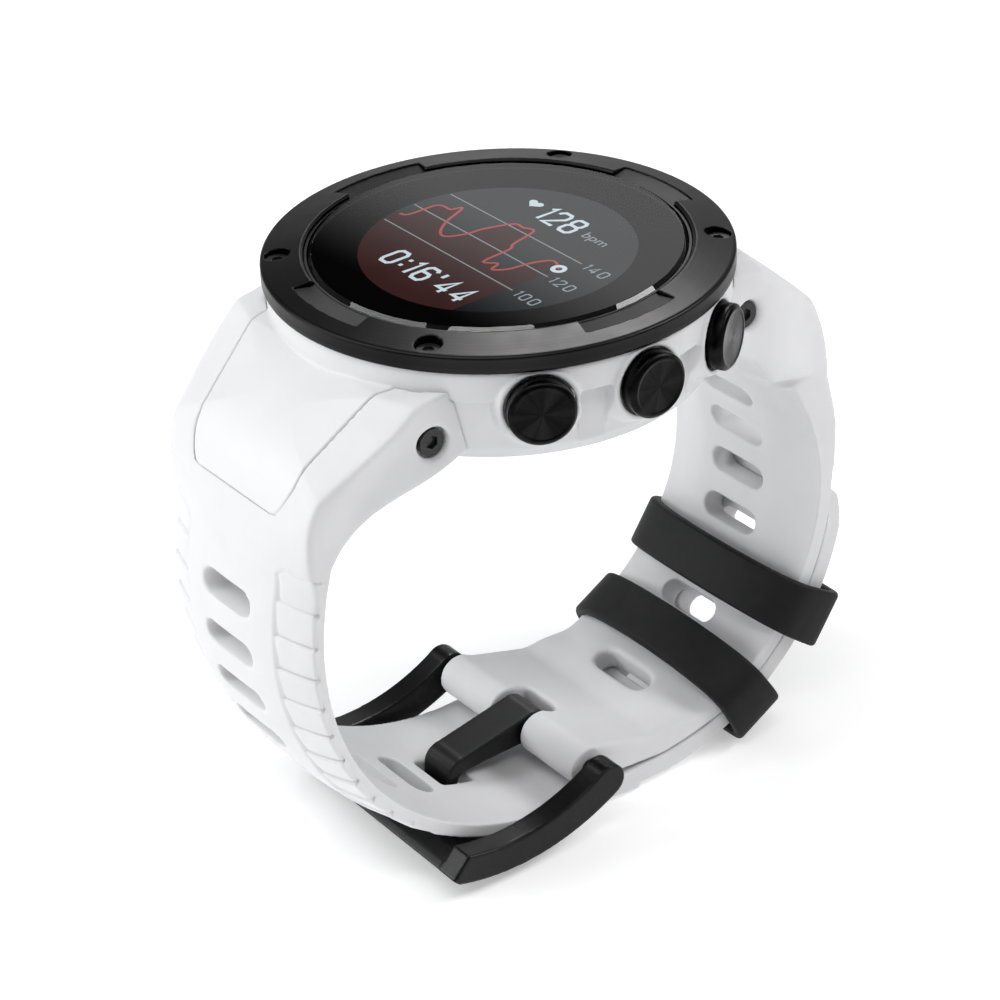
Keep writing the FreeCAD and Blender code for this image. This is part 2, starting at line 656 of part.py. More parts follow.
def back_screws():
    """Four cover screws from below and three board screws from above."""
    covers = [screw("cover_screw_%d" % index, 1.1, 0.55, 0.5, 1.9, around(at, dim("post_circle"), 2.6), (0, 0, -1))
              for index, at in enumerate(POST_ANGLES)]
    keep(group("cover_screw_set", covers), "back_cover_screws")
    top = dim("board_bottom") + dim("board_thickness")
    boards = [screw("board_screw_%d" % index, 1.1, 0.6, 0.5, 2.2, around(at, dim("post_circle"), top), (0, 0, 1))
              for index, at in enumerate(POST_ANGLES[1:])]
    keep(group("board_screw_set", boards), "board_screws")


circuit_board()
shield_can()
battery()
vibration_motor()
back_parts()
back_screws()


# ---------------------------------------------------------------- strap
LEFT = (dim("left_arc_y"), dim("left_arc_z"))
LEFT_OUTER = (dim("left_outer_y"), dim("left_arc_z"))
RIGHT = (dim("right_arc_y"), dim("right_arc_z"))
BAR = (dim("bar_y"), dim("bar_z"))
BUCKLE_OUTER = dim("right_arc_radius") + dim("layer_thickness")
TAIL_INNER = BUCKLE_OUTER + dim("layer_gap")
TAIL_OUTER = TAIL_INNER + dim("tail_thickness")


def arc_step(centre, radius, via, end):
    """An arc entry of an outline, by its middle and end angles."""
    return polar(*centre, radius, via) + polar(*centre, radius, end)


def tail_fork_path():
    """The 6 o'clock half beside the lug, from the case flank to the start of the long arc."""
    inner_end = polar(*LEFT, dim("left_arc_radius"), 160.0)
    outer_end = polar(*LEFT_OUTER, dim("left_outer_radius"), 165.0)
    return [(-15.0, 10.6), (-22.0, 9.9), (-29.0, 4.4) + outer_end, inner_end,
            (-26.4, -1.9, -22.2, 0.9), (-15.0, 3.8)]


def tail_loop_path():
    """The 6 o'clock half from the fork round under the wrist to its free tip."""
    inner_start = polar(*LEFT, dim("left_arc_radius"), 160.0)
    outer_start = polar(*LEFT_OUTER, dim("left_outer_radius"), 165.0)
    return [outer_start,
            arc_step(LEFT_OUTER, dim("left_outer_radius"), 215.0, 268.0),
            (7.0, -47.45),
            polar(*RIGHT, TAIL_OUTER, -86.0),
            arc_step(RIGHT, TAIL_OUTER, -45.0, -6.0),
            arc_step(RIGHT, TAIL_INNER + 1.2, -3.5, -2.0)[:2] + polar(*RIGHT, TAIL_INNER + 0.2, -2.5),
            polar(*RIGHT, TAIL_INNER, -4.0),
            arc_step(RIGHT, TAIL_INNER, -45.0, -90.0),
            polar(*LEFT, dim("left_arc_radius"), -90.0),
            arc_step(LEFT, dim("left_arc_radius"), 215.0, 160.0),
            inner_start]


def buckle_fork_path():
    """The 12 o'clock half beside the lug."""
    inner_end = polar(*RIGHT, dim("right_arc_radius"), 50.0)
    outer_end = (32.9, -7.2)
    return [(15.0, 10.6), (22.0, 9.9), (29.0, 4.4) + outer_end, inner_end,
            (21.2, -1.4, 18.6, 1.2), (15.0, 3.8)]


def buckle_loop_path():
    """The 12 o'clock half from the fork down to the roll round the buckle bar."""
    roll = dim("roll_radius")
    return [(32.9, -7.2), (33.9, -13.5) + polar(*RIGHT, BUCKLE_OUTER, 0.0),
            arc_step(RIGHT, BUCKLE_OUTER, -45.0, -88.0),
            (BAR[0] + 0.6, BAR[1] - roll + 0.05),
            (BAR[0] - roll, BAR[1], BAR[0] + 0.4, BAR[1] + roll - 0.05),
            polar(*RIGHT, dim("right_arc_radius"), -90.0),
            arc_step(RIGHT, dim("right_arc_radius"), -30.0, 50.0)]


def fork_plan(side):
    """The fork seen from above: full width at the case, narrowing towards the loop."""
    wide = dim("fork_half_width")
    narrow = dim("strap_half_width")
    return [(-wide, side * 12.0), (wide, side * 12.0), (wide, side * 23.0), (narrow + 1.2, side * 28.5),
            (narrow, side * 32.0), (narrow, side * 36.0), (-narrow, side * 36.0), (-narrow, side * 32.0),
            (-narrow - 1.2, side * 28.5), (-wide, side * 23.0)]


def fork(side, path):
    """One strap end: two arms beside the lug, joined under its hood."""
    name = "fork_" + name_of(side)
    profile = side_body(name + "_profile", path, "2 * dims.fork_half_width")
    plan = padded(name + "_plan", "XY_Plane", "60", lambda sketch: add_path(sketch, fork_plan(side)))
    rounded = common(name + "_rounded", common(name + "_shaped", profile, plan), CROWN[side])
    case_room = turned(name + "_case_room", [
        (0, -20), ("dims.case_flank_radius - 0.25", -20), ("dims.case_flank_radius - 0.25", 3.1),
        ("dims.case_flank_radius + 0.05", 3.7), ("dims.case_radius - 0.35", 9.1),
        ("dims.case_radius + 0.05", "dims.band_bottom"), ("dims.case_radius + 0.05", 20), (0, 20),
    ])
    above = padded(name + "_above", "XY_Plane", "60", lambda sketch: add_path(sketch, hood_plan(side, 0.08)))
    upper_half = side_body(name + "_upper_half", mirrored(
        [(12.0, 3.0), (22.85, 3.0), (22.85, 6.15), (28.4, 1.05), (30.3, -1.75), (38.0, 3.2), (38.0, 20.0),
         (12.0, 20.0)], side), "3 * dims.hood_half_width")
    room = common(name + "_hood_room", above, upper_half)
    pin = dim("lug_pin_y") * side
    height = dim("lug_pin_z")
    through = cylinder(name + "_screw_bore", "0.8", "40", (-20, pin, height), (1, 0, 0))
    recesses = [cylinder("%s_screw_recess_%d" % (name, end + 1), "dims.lug_screw_recess", "3",
                         (end * (dim("fork_half_width") - 1.2), pin, height), (end, 0, 0)) for end in (1, -1)]
    tools = fused(name + "_tools", [case_room, room, through] + recesses)
    return cut(name, rounded, tools)


TONGUE_SLOT = 8
TAIL_SLOTS = [dim("first_slot") + dim("slot_pitch") * index for index in range(TONGUE_SLOT)]


def slot_tool(name, centre, degrees, radius):
    """A slot with round ends, cut square through the strap at an angle on an arc."""
    turn = Rot(Vec(1, 0, 0), degrees - 90.0)
    half_length = dim("slot_half_length")
    reach = dim("slot_half_width") - half_length
    foot = Vec(0, *centre) + turn.multVec(Vec(0, 0, radius - 4.0))
    straight = block(name + "_straight", "2 * (dims.slot_half_width - dims.slot_half_length)",
                     "2 * dims.slot_half_length", "8", (0, 0, 0))
    straight.Placement = Place(foot + turn.multVec(Vec(-reach, -half_length, 0)), turn)
    ends = [cylinder("%s_end_%d" % (name, index + 1), "dims.slot_half_length", "8",
                     tuple(foot + Vec(x, 0, 0)), tuple(turn.multVec(Vec(0, 0, 1))))
            for index, x in enumerate((reach, -reach))]
    return fused(name, [straight] + ends)


def tongue_slot_tool():
    """The square-cornered slot that the tongue dives through."""
    degrees = dim("first_slot") + dim("slot_pitch") * TONGUE_SLOT
    turn = Rot(Vec(1, 0, 0), degrees - 90.0)
    length = dim("tongue_slot_half_length")
    tool = block("tongue_slot", "2 * dims.tongue_slot_half_width", "2 * dims.tongue_slot_half_length", "8",
                 (0, 0, 0))
    corner = Vec(-dim("tongue_slot_half_width"), -length, dim("left_arc_radius") - 2.6)
    tool.Placement = Place(Vec(0, *LEFT) + turn.multVec(corner), turn)
    return tool


def strap_tail_half():
    """The 6 o'clock half with its row of slots and rounded tip."""
    loop = side_body("tail_loop", tail_loop_path(), "2 * dims.strap_half_width")
    whole = fused("tail_whole", [fork(-1, tail_fork_path()), loop])
    tools = [slot_tool("tail_slot_%d" % index, LEFT, degrees, dim("left_arc_radius") + 1.4)
             for index, degrees in enumerate(TAIL_SLOTS)]
    tools.append(tongue_slot_tool())
    for index in range(5):
        tools.append(slot_tool("tail_end_slot_%d" % index, RIGHT, -70.5 + 11.6 * index, TAIL_INNER + 1.3))
    tip = padded("tip_trim", "XZ_Plane", "30", lambda sketch: add_path(
        sketch, [(-12.5, -26.5), (-11.4, -26.5), (-9.0, -21.6, 0.0, -20.2), (9.0, -21.6, 11.4, -26.5),
                 (12.5, -26.5), (12.5, -15.0), (-12.5, -15.0)]))
    tip.Placement = Place(Vec(0, 48.7, 0), Rot())
    tools.append(tip)
    return keep(cut("tail", whole, fused("tail_tools", tools)), "strap_tail_half")


def strap_buckle_half():
    """The 12 o'clock half with its slots, the roll round the bar and the tongue's notch."""
    loop = side_body("buckle_loop", buckle_loop_path(), "2 * dims.strap_half_width")
    whole = fused("buckle_whole", [fork(1, buckle_fork_path()), loop])
    tools = [slot_tool("buckle_slot_%d" % index, RIGHT, 22.9 - 14.2 * index, dim("right_arc_radius") + 1.5)
             for index in range(8)]
    tools.append(cylinder("bar_bore", "dims.bar_radius", "40", (-20, *BAR), (1, 0, 0)))
    tools.append(block("tongue_notch", "2 * dims.tongue_slot_half_width", "6.4", "8",
                       (-dim("tongue_slot_half_width"), BAR[0] - 3.6, BAR[1] - 4.0)))
    return keep(cut("buckle_side", whole, fused("buckle_tools", tools)), "strap_buckle_half")


strap_tail_half()
strap_buckle_half()


def lug_fasteners():
    """A threaded insert in each side of each lug and the screw that holds the strap's arm to it."""
    inserts = []
    screws = []
    for index, (side, end) in enumerate(LUG_CORNERS):
        outward_x = (end, 0, 0)
        body = cylinder("insert_%d" % index, "dims.lug_insert_radius", "dims.lug_insert_length",
                        lug_point(side, end, INSERT_FOOT), outward_x)
        bore = cylinder("insert_bore_%d" % index, "0.72", "4", lug_point(side, end, INSERT_FOOT - 1), outward_x)
        inserts.append(cut("lug_insert_%d" % index, body, bore))
        seat = lug_point(side, end, dim("fork_half_width") - 1.2)
        screws.append(screw("lug_screw_%d" % index, 1.35, 0.7, 0.7, 4.7, seat, outward_x))
    keep(group("insert_set", inserts), "lug_inserts")
    keep(group("screw_set", screws), "lug_screws")


lug_fasteners()


# ---------------------------------------------------------------- buckle and keepers
def buckle_bar():
    """The bar through the strap's roll; both buckle arms and the tongue turn on it."""
    length = 2 * dim("arm_outer") - 0.6
    return keep(cylinder("bar", "dims.bar_radius", "%g" % length, (-length / 2, *BAR), (1, 0, 0)), "buckle_bar")


def buckle_frame():
    """Two curved arms joined by a wide plate outside the strap, which carries the tongue's notch."""
    head = dim("arm_head_radius")
    arm = [(BAR[0] - 1.3, BAR[1] + 1.39), (-8.5, -42.85, -17.7, -42.2), (-19.0, -43.6), (-19.75, -44.4),
           (-19.1, -45.1), (-8.0, -46.25, BAR[0] + 0.9, BAR[1] - 1.68),
           polar(*BAR, head, 20.0) + (BAR[0] - 1.3, BAR[1] + 1.39)]
    both = side_body("arms", arm, "2 * dims.arm_outer")
    between = block("arm_gap", "2 * dims.arm_inner", "40", "20", (-dim("arm_inner"), -30, -55))
    rails = cut("rails", both, between)
    plate_path = [(-11.0, -45.55), (-14.5, -44.45, -17.4, -43.15), (-19.0, -43.7), (-19.7, -44.4), (-19.1, -45.05),
                  (-15.0, -45.95, -11.0, -46.4)]
    plate = side_body("plate", plate_path, "2 * dims.arm_inner + 1")
    frame = fused("frame_whole", [rails, plate])
    bore_end = dim("arm_outer") - 0.25
    bore = cylinder("frame_bore", "dims.bar_radius + 0.04", "%g" % (2 * bore_end), (-bore_end, *BAR), (1, 0, 0))
    notch = block("rest_notch", "2 * dims.tongue_slot_half_width", "2.2", "3",
                  (-dim("tongue_slot_half_width"), -12.3, -46.0))
    return keep(cut("frame", frame, fused("frame_tools", [bore, notch])), "buckle_frame")


def buckle_tongue():
    """The tongue: an eye round the bar, a straight reach and a tip that dives through a strap slot."""
    path = [(BAR[0] - 0.3, BAR[1] + 2.0), (-8.9, -41.2), (-10.3, -41.7, -11.0, -43.2), (-11.1, -45.3),
            (-10.6, -45.6, -10.1, -45.3), (-9.6, -43.5), (-8.9, -43.0), (BAR[0] - 1.3, BAR[1] - 1.25),
            (BAR[0] + 1.75, BAR[1] - 0.4, BAR[0] - 0.3, BAR[1] + 2.0)]
    blank = side_body("tongue_blank", path, "2 * dims.tongue_half_width")
    bore = cylinder("tongue_bore", "dims.bar_radius + 0.04", "20", (-10, *BAR), (1, 0, 0))
    return keep(cut("tongue", blank, bore), "buckle_tongue")


def keeper(node, degrees):
    """A rubber loop round both strap layers, its inner bar bowed towards the wrist."""
    body = doc.addObject("PartDesign::Body", node)
    sketch = sketch_on(body, "XZ_Plane", node + "_sketch")
    wide = dim("keeper_outer_half_width")
    gap = dim("keeper_inner_half_width")
    inner = dim("keeper_inner_radius")
    outer = dim("keeper_outer_radius")
    wall = dim("keeper_wall")
    bow = dim("keeper_bow")
    add_path(sketch, [(-wide, inner + 0.7), (-wide + 0.8, inner), (0.0, inner - bow, wide - 0.8, inner),
                      (wide, inner + 0.7), (wide, outer - 0.8), (wide - 0.8, outer), (-wide + 0.8, outer),
                      (-wide, outer - 0.8)])
    add_path(sketch, [(-gap, inner + wall - 0.1), (0.0, inner - bow + wall, gap, inner + wall - 0.1),
                      (gap, outer - wall), (-gap, outer - wall)])
    spin = body.newObject("PartDesign::Revolution", node + "_turn")
    spin.Profile = sketch
    spin.ReferenceAxis = (sketch, ["H_Axis"])
    spin.setExpression("Angle", "dims.keeper_angle")
    spin.Midplane = True
    body.Placement = Place(Vec(0, *RIGHT), Rot(Vec(1, 0, 0), degrees - 90.0))
    return keep(body, node)


buckle_bar()
buckle_frame()
buckle_tongue()
keeper("keeper_upper", dim("upper_keeper_at"))
keeper("keeper_lower", dim("lower_keeper_at"))

# ---------------------------------------------------------------- check and write
doc.recompute()
for item in doc.Objects:
    if any(state in ("Invalid", "Error") for state in item.State):
        raise RuntimeError("%s (%s) failed: %s" % (item.Name, item.Label, item.State))
os.makedirs("parts", exist_ok=True)
for item, node in NODES:
    shape = item.Shape
    if shape.isNull() or not shape.isValid() or not shape.Solids:
        raise RuntimeError("%s has no valid solid" % node)
    shape.exportStep("parts/%s.step" % node)
    print("%-28s solids %2d volume %9.2f" % (node, len(shape.Solids), shape.Volume))
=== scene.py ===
import math

import bmesh
import bpy
import numpy as np
from mathutils import Matrix, Vector


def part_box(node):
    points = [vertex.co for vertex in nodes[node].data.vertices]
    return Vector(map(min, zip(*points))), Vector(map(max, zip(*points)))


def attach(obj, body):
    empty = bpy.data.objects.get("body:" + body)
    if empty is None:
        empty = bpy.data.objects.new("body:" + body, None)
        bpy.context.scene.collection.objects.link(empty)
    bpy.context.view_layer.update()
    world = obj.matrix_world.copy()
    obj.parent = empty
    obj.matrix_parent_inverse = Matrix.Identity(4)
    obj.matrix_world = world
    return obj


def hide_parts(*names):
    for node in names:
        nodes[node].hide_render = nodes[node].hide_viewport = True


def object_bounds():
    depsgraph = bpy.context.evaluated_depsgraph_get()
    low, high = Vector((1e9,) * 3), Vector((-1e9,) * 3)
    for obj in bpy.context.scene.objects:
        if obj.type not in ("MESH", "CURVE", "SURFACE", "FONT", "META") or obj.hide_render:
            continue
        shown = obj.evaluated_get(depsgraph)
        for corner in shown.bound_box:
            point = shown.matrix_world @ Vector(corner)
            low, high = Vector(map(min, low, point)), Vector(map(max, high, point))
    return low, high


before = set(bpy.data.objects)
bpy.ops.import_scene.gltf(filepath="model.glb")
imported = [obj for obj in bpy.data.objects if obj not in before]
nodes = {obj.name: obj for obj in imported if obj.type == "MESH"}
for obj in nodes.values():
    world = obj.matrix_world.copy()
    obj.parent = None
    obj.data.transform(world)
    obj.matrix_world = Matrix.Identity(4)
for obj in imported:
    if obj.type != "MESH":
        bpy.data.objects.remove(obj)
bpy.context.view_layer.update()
scene = bpy.context.scene
MM = 0.001


# ------------------------------------------------------------------ small helpers
def smoothstep(low, high, value):
    t = np.clip((value - low) / (high - low), 0.0, 1.0)
    return t * t * (3.0 - 2.0 * t)


def link(obj):
    scene.collection.objects.link(obj)
    return obj


def mesh_object(name, verts_mm, faces, material, smooth=True):
    """A new mesh object from corners in millimetres."""
    mesh = bpy.data.meshes.new(name)
    mesh.from_pydata([(x * MM, y * MM, z * MM) for x, y, z in verts_mm], [], faces)
    mesh.materials.append(material)
    mesh.validate()
    mesh.update()
    obj = link(bpy.data.objects.new(name, mesh))
    if smooth:
        mesh.shade_smooth()
    return obj


def settle(obj, body, slot, *replaced):
    """The piece rides on its body and stands for its CAD nodes; the slot it is given is not used."""
    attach(obj, body)
    if replaced:
        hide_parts(*replaced)
    return obj


def get_points(mesh):
    co = np.empty(len(mesh.vertices) * 3, np.float32)
    mesh.vertices.foreach_get("co", co)
    return co.reshape(-1, 3).astype(float)


def get_edges(mesh):
    pairs = np.empty(len(mesh.edges) * 2, np.int32)
    mesh.edges.foreach_get("vertices", pairs)
    return pairs.reshape(-1, 2)


def relaxed(points, edges, weight, rounds):
    """Each point drifts towards the middle of its neighbours, as far as its weight lets it."""
    first, second = edges[:, 0], edges[:, 1]
    count = len(points)
    shared = (np.bincount(first, minlength=count) + np.bincount(second, minlength=count))[:, None]
    for _ in range(rounds):
        total = np.stack([np.bincount(first, points[second, axis], count)
                          + np.bincount(second, points[first, axis], count) for axis in range(3)], axis=1)
        points = points + weight[:, None] * (total / shared - points)
    return points


def set_points(mesh, points):
    mesh.vertices.foreach_set("co", points.astype(np.float32).ravel())
    mesh.update()


def face_outward(obj):
    """Turns every face of a closed mesh outwards."""
    work = bmesh.new()
    work.from_mesh(obj.data)
    bmesh.ops.recalc_face_normals(work, faces=work.faces)
    work.to_mesh(obj.data)
    work.free()


def rounded_span(before, start, end, after, t):
    """A point t of the way along the smooth curve from start to end, given their outer neighbours."""
    return 0.5 * (2.0 * start + (end - before) * t
                  + (2.0 * before - 5.0 * start + 4.0 * end - after) * t ** 2
                  + (3.0 * start - before - 3.0 * end + after) * t ** 3)


def square_sheet(name, half_x, half_y, height, material):
    """One flat rectangle about the Z axis, in millimetres."""
    corners = [(-half_x, -half_y, height), (half_x, -half_y, height), (half_x, half_y, height),
               (-half_x, half_y, height)]
    return mesh_object(name, corners, [(0, 1, 2, 3)], material, smooth=False)


def moulded(node, name, material, voxel, rounds, reshape=None):
    """A soft-edged copy of a CAD node: one even skin of small quads, relaxed, then shaped in millimetres."""
    mesh = nodes[node].data.copy()
    mesh.name = name
    mesh.transform(Matrix.Scale(1.0 / MM, 4))
    work = bmesh.new()
    work.from_mesh(mesh)
    bmesh.ops.remove_doubles(work, verts=work.verts, dist=0.0005)
    work.to_mesh(mesh)
    work.free()
    obj = link(bpy.data.objects.new(name, mesh))
    remesh = obj.modifiers.new("skin", "REMESH")
    remesh.mode = "VOXEL"
    remesh.voxel_size = voxel
    relax = obj.modifiers.new("relax", "SMOOTH")
    relax.factor = 0.5
    relax.iterations = rounds
    graph = bpy.context.evaluated_depsgraph_get()
    final = bpy.data.meshes.new_from_object(obj.evaluated_get(graph))
    obj.modifiers.clear()
    obj.data = final
    bpy.data.meshes.remove(mesh)
    if reshape:
        set_points(final, reshape(get_points(final), get_edges(final)))
    set_points(final, get_points(final) * MM)
    final.name = name
    final.materials.clear()
    final.materials.append(material)
    final.shade_smooth()
    return obj


# ------------------------------------------------------------------ materials
def new_material(name):
    material = bpy.data.materials.new(name)
    material.use_nodes = True
    tree = material.node_tree
    return material, tree, tree.nodes["Principled BSDF"]


def add(tree, kind, **inputs):
    node = tree.nodes.new(kind)
    for key, value in inputs.items():
        node.inputs[key.replace("_", " ")].default_value = value
    return node


def finish(name, colour, rough, metal=0.0, vary=0.06, patch=900.0, grain=9000.0, bump=0.1, spread=0.08,
           specular=0.5, coat=0.0, sheen=0.0, subsurface=0.0):
    """A surface with uneven colour, uneven gloss and a fine moulded or blasted grain."""
    material, tree, shader = new_material(name)
    place = tree.nodes.new("ShaderNodeTexCoord")
    cloud = add(tree, "ShaderNodeTexNoise", Scale=patch, Detail=4.0)
    tree.links.new(place.outputs["Object"], cloud.inputs["Vector"])
    fine = add(tree, "ShaderNodeTexNoise", Scale=grain, Detail=3.0)
    tree.links.new(place.outputs["Object"], fine.inputs["Vector"])
    tint = tree.nodes.new("ShaderNodeValToRGB")
    tint.color_ramp.elements[0].position = 0.3
    tint.color_ramp.elements[1].position = 0.7
    tint.color_ramp.elements[0].color = [c * (1.0 - vary) for c in colour] + [1.0]
    tint.color_ramp.elements[1].color = [min(1.0, c * (1.0 + vary)) for c in colour] + [1.0]
    tree.links.new(cloud.outputs["Fac"], tint.inputs["Fac"])
    tree.links.new(tint.outputs["Color"], shader.inputs["Base Color"])
    gloss = add(tree, "ShaderNodeMapRange")
    gloss.inputs["To Min"].default_value = max(0.02, rough - spread)
    gloss.inputs["To Max"].default_value = min(1.0, rough + spread)
    tree.links.new(fine.outputs["Fac"], gloss.inputs["Value"])
    tree.links.new(gloss.outputs["Result"], shader.inputs["Roughness"])
    relief = add(tree, "ShaderNodeBump", Strength=bump, Distance=0.00004)
    tree.links.new(fine.outputs["Fac"], relief.inputs["Height"])
    tree.links.new(relief.outputs["Normal"], shader.inputs["Normal"])
    shader.inputs["Metallic"].default_value = metal
    shader.inputs["Specular IOR Level"].default_value = specular
    shader.inputs["Coat Weight"].default_value = coat
    shader.inputs["Coat Roughness"].default_value = 0.12
    shader.inputs["Sheen Weight"].default_value = sheen
    shader.inputs["Subsurface Weight"].default_value = subsurface
    shader.inputs["Subsurface Radius"].default_value = (0.0012, 0.0010, 0.0009)
    shader.inputs["Subsurface Scale"].default_value = 1.0
    return material


def turned(name, colour, rough, rings, bump, anisotropic, painted_sheen_wedge=0.2):
    """Metal or lacquer turned on a lathe: fine rings about the piece's own Z axis, with a painted sheen of soft
    light and dark wedges in its colour.
    """
    material, tree, shader = new_material(name)
    place = tree.nodes.new("ShaderNodeTexCoord")
    split = tree.nodes.new("ShaderNodeSeparateXYZ")
    tree.links.new(place.outputs["Object"], split.inputs["Vector"])
    flat = tree.nodes.new("ShaderNodeCombineXYZ")
    tree.links.new(split.outputs["X"], flat.inputs["X"])
    tree.links.new(split.outputs["Y"], flat.inputs["Y"])
    radius = tree.nodes.new("ShaderNodeVectorMath")
    radius.operation = "LENGTH"
    tree.links.new(flat.outputs["Vector"], radius.inputs[0])
    line = tree.nodes.new("ShaderNodeCombineXYZ")
    tree.links.new(radius.outputs["Value"], line.inputs["X"])
    tree.links.new(split.outputs["Z"], line.inputs["Z"])
    cut = add(tree, "ShaderNodeTexNoise", Scale=rings, Detail=4.0)
    tree.links.new(line.outputs["Vector"], cut.inputs["Vector"])
    cloud = add(tree, "ShaderNodeTexNoise", Scale=350.0, Detail=3.0)
    tree.links.new(place.outputs["Object"], cloud.inputs["Vector"])
    tint = tree.nodes.new("ShaderNodeValToRGB")
    tint.color_ramp.elements[0].position = 0.3
    tint.color_ramp.elements[1].position = 0.7
    tint.color_ramp.elements[0].color = [c * 0.8 for c in colour] + [1.0]
    tint.color_ramp.elements[1].color = [c * 1.2 for c in colour] + [1.0]
    tree.links.new(cut.outputs["Fac"], tint.inputs["Fac"])
    # painted sheen: the colour is scaled up and down in broad wedges round the Z axis, standing in for the
    # bow-tie highlights of turned metal
    spoke = tree.nodes.new("ShaderNodeVectorMath")
    spoke.operation = "NORMALIZE"
    tree.links.new(flat.outputs["Vector"], spoke.inputs[0])
    painted_sheen_fan = add(tree, "ShaderNodeTexNoise", Scale=1.7, Detail=2.0)
    tree.links.new(spoke.outputs["Vector"], painted_sheen_fan.inputs["Vector"])
    painted_sheen_range = add(tree, "ShaderNodeMapRange")
    painted_sheen_range.inputs["From Min"].default_value = 0.35
    painted_sheen_range.inputs["From Max"].default_value = 0.65
    painted_sheen_range.inputs["To Min"].default_value = 1.0 - painted_sheen_wedge
    painted_sheen_range.inputs["To Max"].default_value = 1.0 + 2.0 * painted_sheen_wedge
    tree.links.new(painted_sheen_fan.outputs["Fac"], painted_sheen_range.inputs["Value"])
    painted_sheen_colour = tree.nodes.new("ShaderNodeVectorMath")
    painted_sheen_colour.operation = "SCALE"
    tree.links.new(tint.outputs["Color"], painted_sheen_colour.inputs[0])
    tree.links.new(painted_sheen_range.outputs["Result"], painted_sheen_colour.inputs["Scale"])
    tree.links.new(painted_sheen_colour.outputs["Vector"], shader.inputs["Base Color"])
    gloss = add(tree, "ShaderNodeMapRange")
    gloss.inputs["To Min"].default_value = rough - 0.05
    gloss.inputs["To Max"].default_value = rough + 0.08
    tree.links.new(cloud.outputs["Fac"], gloss.inputs["Value"])
    tree.links.new(gloss.outputs["Result"], shader.inputs["Roughness"])
    relief = add(tree, "ShaderNodeBump", Strength=bump, Distance=0.00002)
    tree.links.new(cut.outputs["Fac"], relief.inputs["Height"])
    tree.links.new(relief.outputs["Normal"], shader.inputs["Normal"])
    along = tree.nodes.new("ShaderNodeTangent")
    along.direction_type = "RADIAL"
    along.axis = "Z"
    tree.links.new(along.outputs["Tangent"], shader.inputs["Tangent"])
    shader.inputs["Metallic"].default_value = 1.0
    shader.inputs["Anisotropic"].default_value = anisotropic
    return material


WHITE_BODY = finish("white_resin", (0.74, 0.74, 0.75), 0.42, vary=0.012, patch=260.0, bump=0.10,
                    specular=0.45, subsurface=0.08)
WHITE_STRAP = finish("white_silicone", (0.74, 0.74, 0.752), 0.55, vary=0.015, patch=300.0, bump=0.16,
                     specular=0.35, sheen=0.08, subsurface=0.12)
# the bezel, clamp and buttons carry painted sheen wedges in their colour; the buttons' wedges are the strongest
BEZEL = turned("bezel_black_steel", (0.016, 0.0155, 0.0155), 0.32, 9000.0, 0.16, 0.75)
CLAMP = turned("clamp_black_steel", (0.018, 0.0175, 0.0175), 0.32, 9000.0, 0.2, 0.55)
BUTTON = turned("button_black", (0.009, 0.0088, 0.0088), 0.26, 26000.0, 0.18, 0.85, painted_sheen_wedge=0.35)
BUCKLE = finish("buckle_black_steel", (0.004, 0.004, 0.0043), 0.30, vary=0.2, patch=700.0, bump=0.12,
                specular=0.22)
TONGUE = finish("tongue_black", (0.006, 0.006, 0.0064), 0.38, vary=0.2, patch=700.0, bump=0.15,
                specular=0.3)
RUBBER = finish("black_rubber", (0.009, 0.009, 0.0095), 0.60, vary=0.18, patch=500.0, bump=0.35,
                specular=0.22)
SCREW = finish("black_screw", (0.03, 0.03, 0.03), 0.30, metal=0.6, vary=0.2, patch=2500.0, bump=0.15)
BLACK_PLASTIC = finish("black_plastic", (0.014, 0.014, 0.015), 0.45, vary=0.15, patch=600.0, bump=0.15)
BACK = finish("back_plastic", (0.030, 0.031, 0.033), 0.48, vary=0.15, patch=500.0, bump=0.30)
SEAL = finish("seal_rubber", (0.02, 0.02, 0.022), 0.7, vary=0.1, patch=900.0, bump=0.4)
BRASS = finish("brass", (0.60, 0.43, 0.17), 0.28, metal=1.0, vary=0.08, patch=1500.0, bump=0.2)
FLEX = finish("flex_circuit", (0.45, 0.22, 0.06), 0.35, metal=0.3, vary=0.2, patch=1800.0, bump=0.2)
STEEL = finish("stainless", (0.55, 0.55, 0.56), 0.24, metal=1.0, vary=0.06, patch=2000.0, bump=0.15)
SHIELD = finish("shield_metal", (0.62, 0.62, 0.60), 0.32, metal=1.0, vary=0.06, patch=1200.0, bump=0.2)
FOIL = finish("battery_foil", (0.55, 0.56, 0.58), 0.38, metal=0.9, vary=0.08, patch=500.0, bump=0.5)
BOARD = finish("circuit_board", (0.015, 0.10, 0.045), 0.4, vary=0.35, patch=3000.0, bump=0.4, coat=0.3)
DIFFUSER = finish("diffuser", (0.75, 0.76, 0.78), 0.35, vary=0.03, bump=0.1)
LIGHTS = finish("sensor_lights", (0.12, 0.45, 0.16), 0.2, vary=0.4, patch=3000.0, bump=0.1, coat=0.5)
WINDOW = finish("sensor_glass", (0.008, 0.009, 0.011), 0.08, vary=0.3, patch=400.0, bump=0.01, coat=0.6)
GOLD = finish("contacts", (0.75, 0.60, 0.35), 0.22, metal=1.0, vary=0.06, patch=2000.0, bump=0.1)

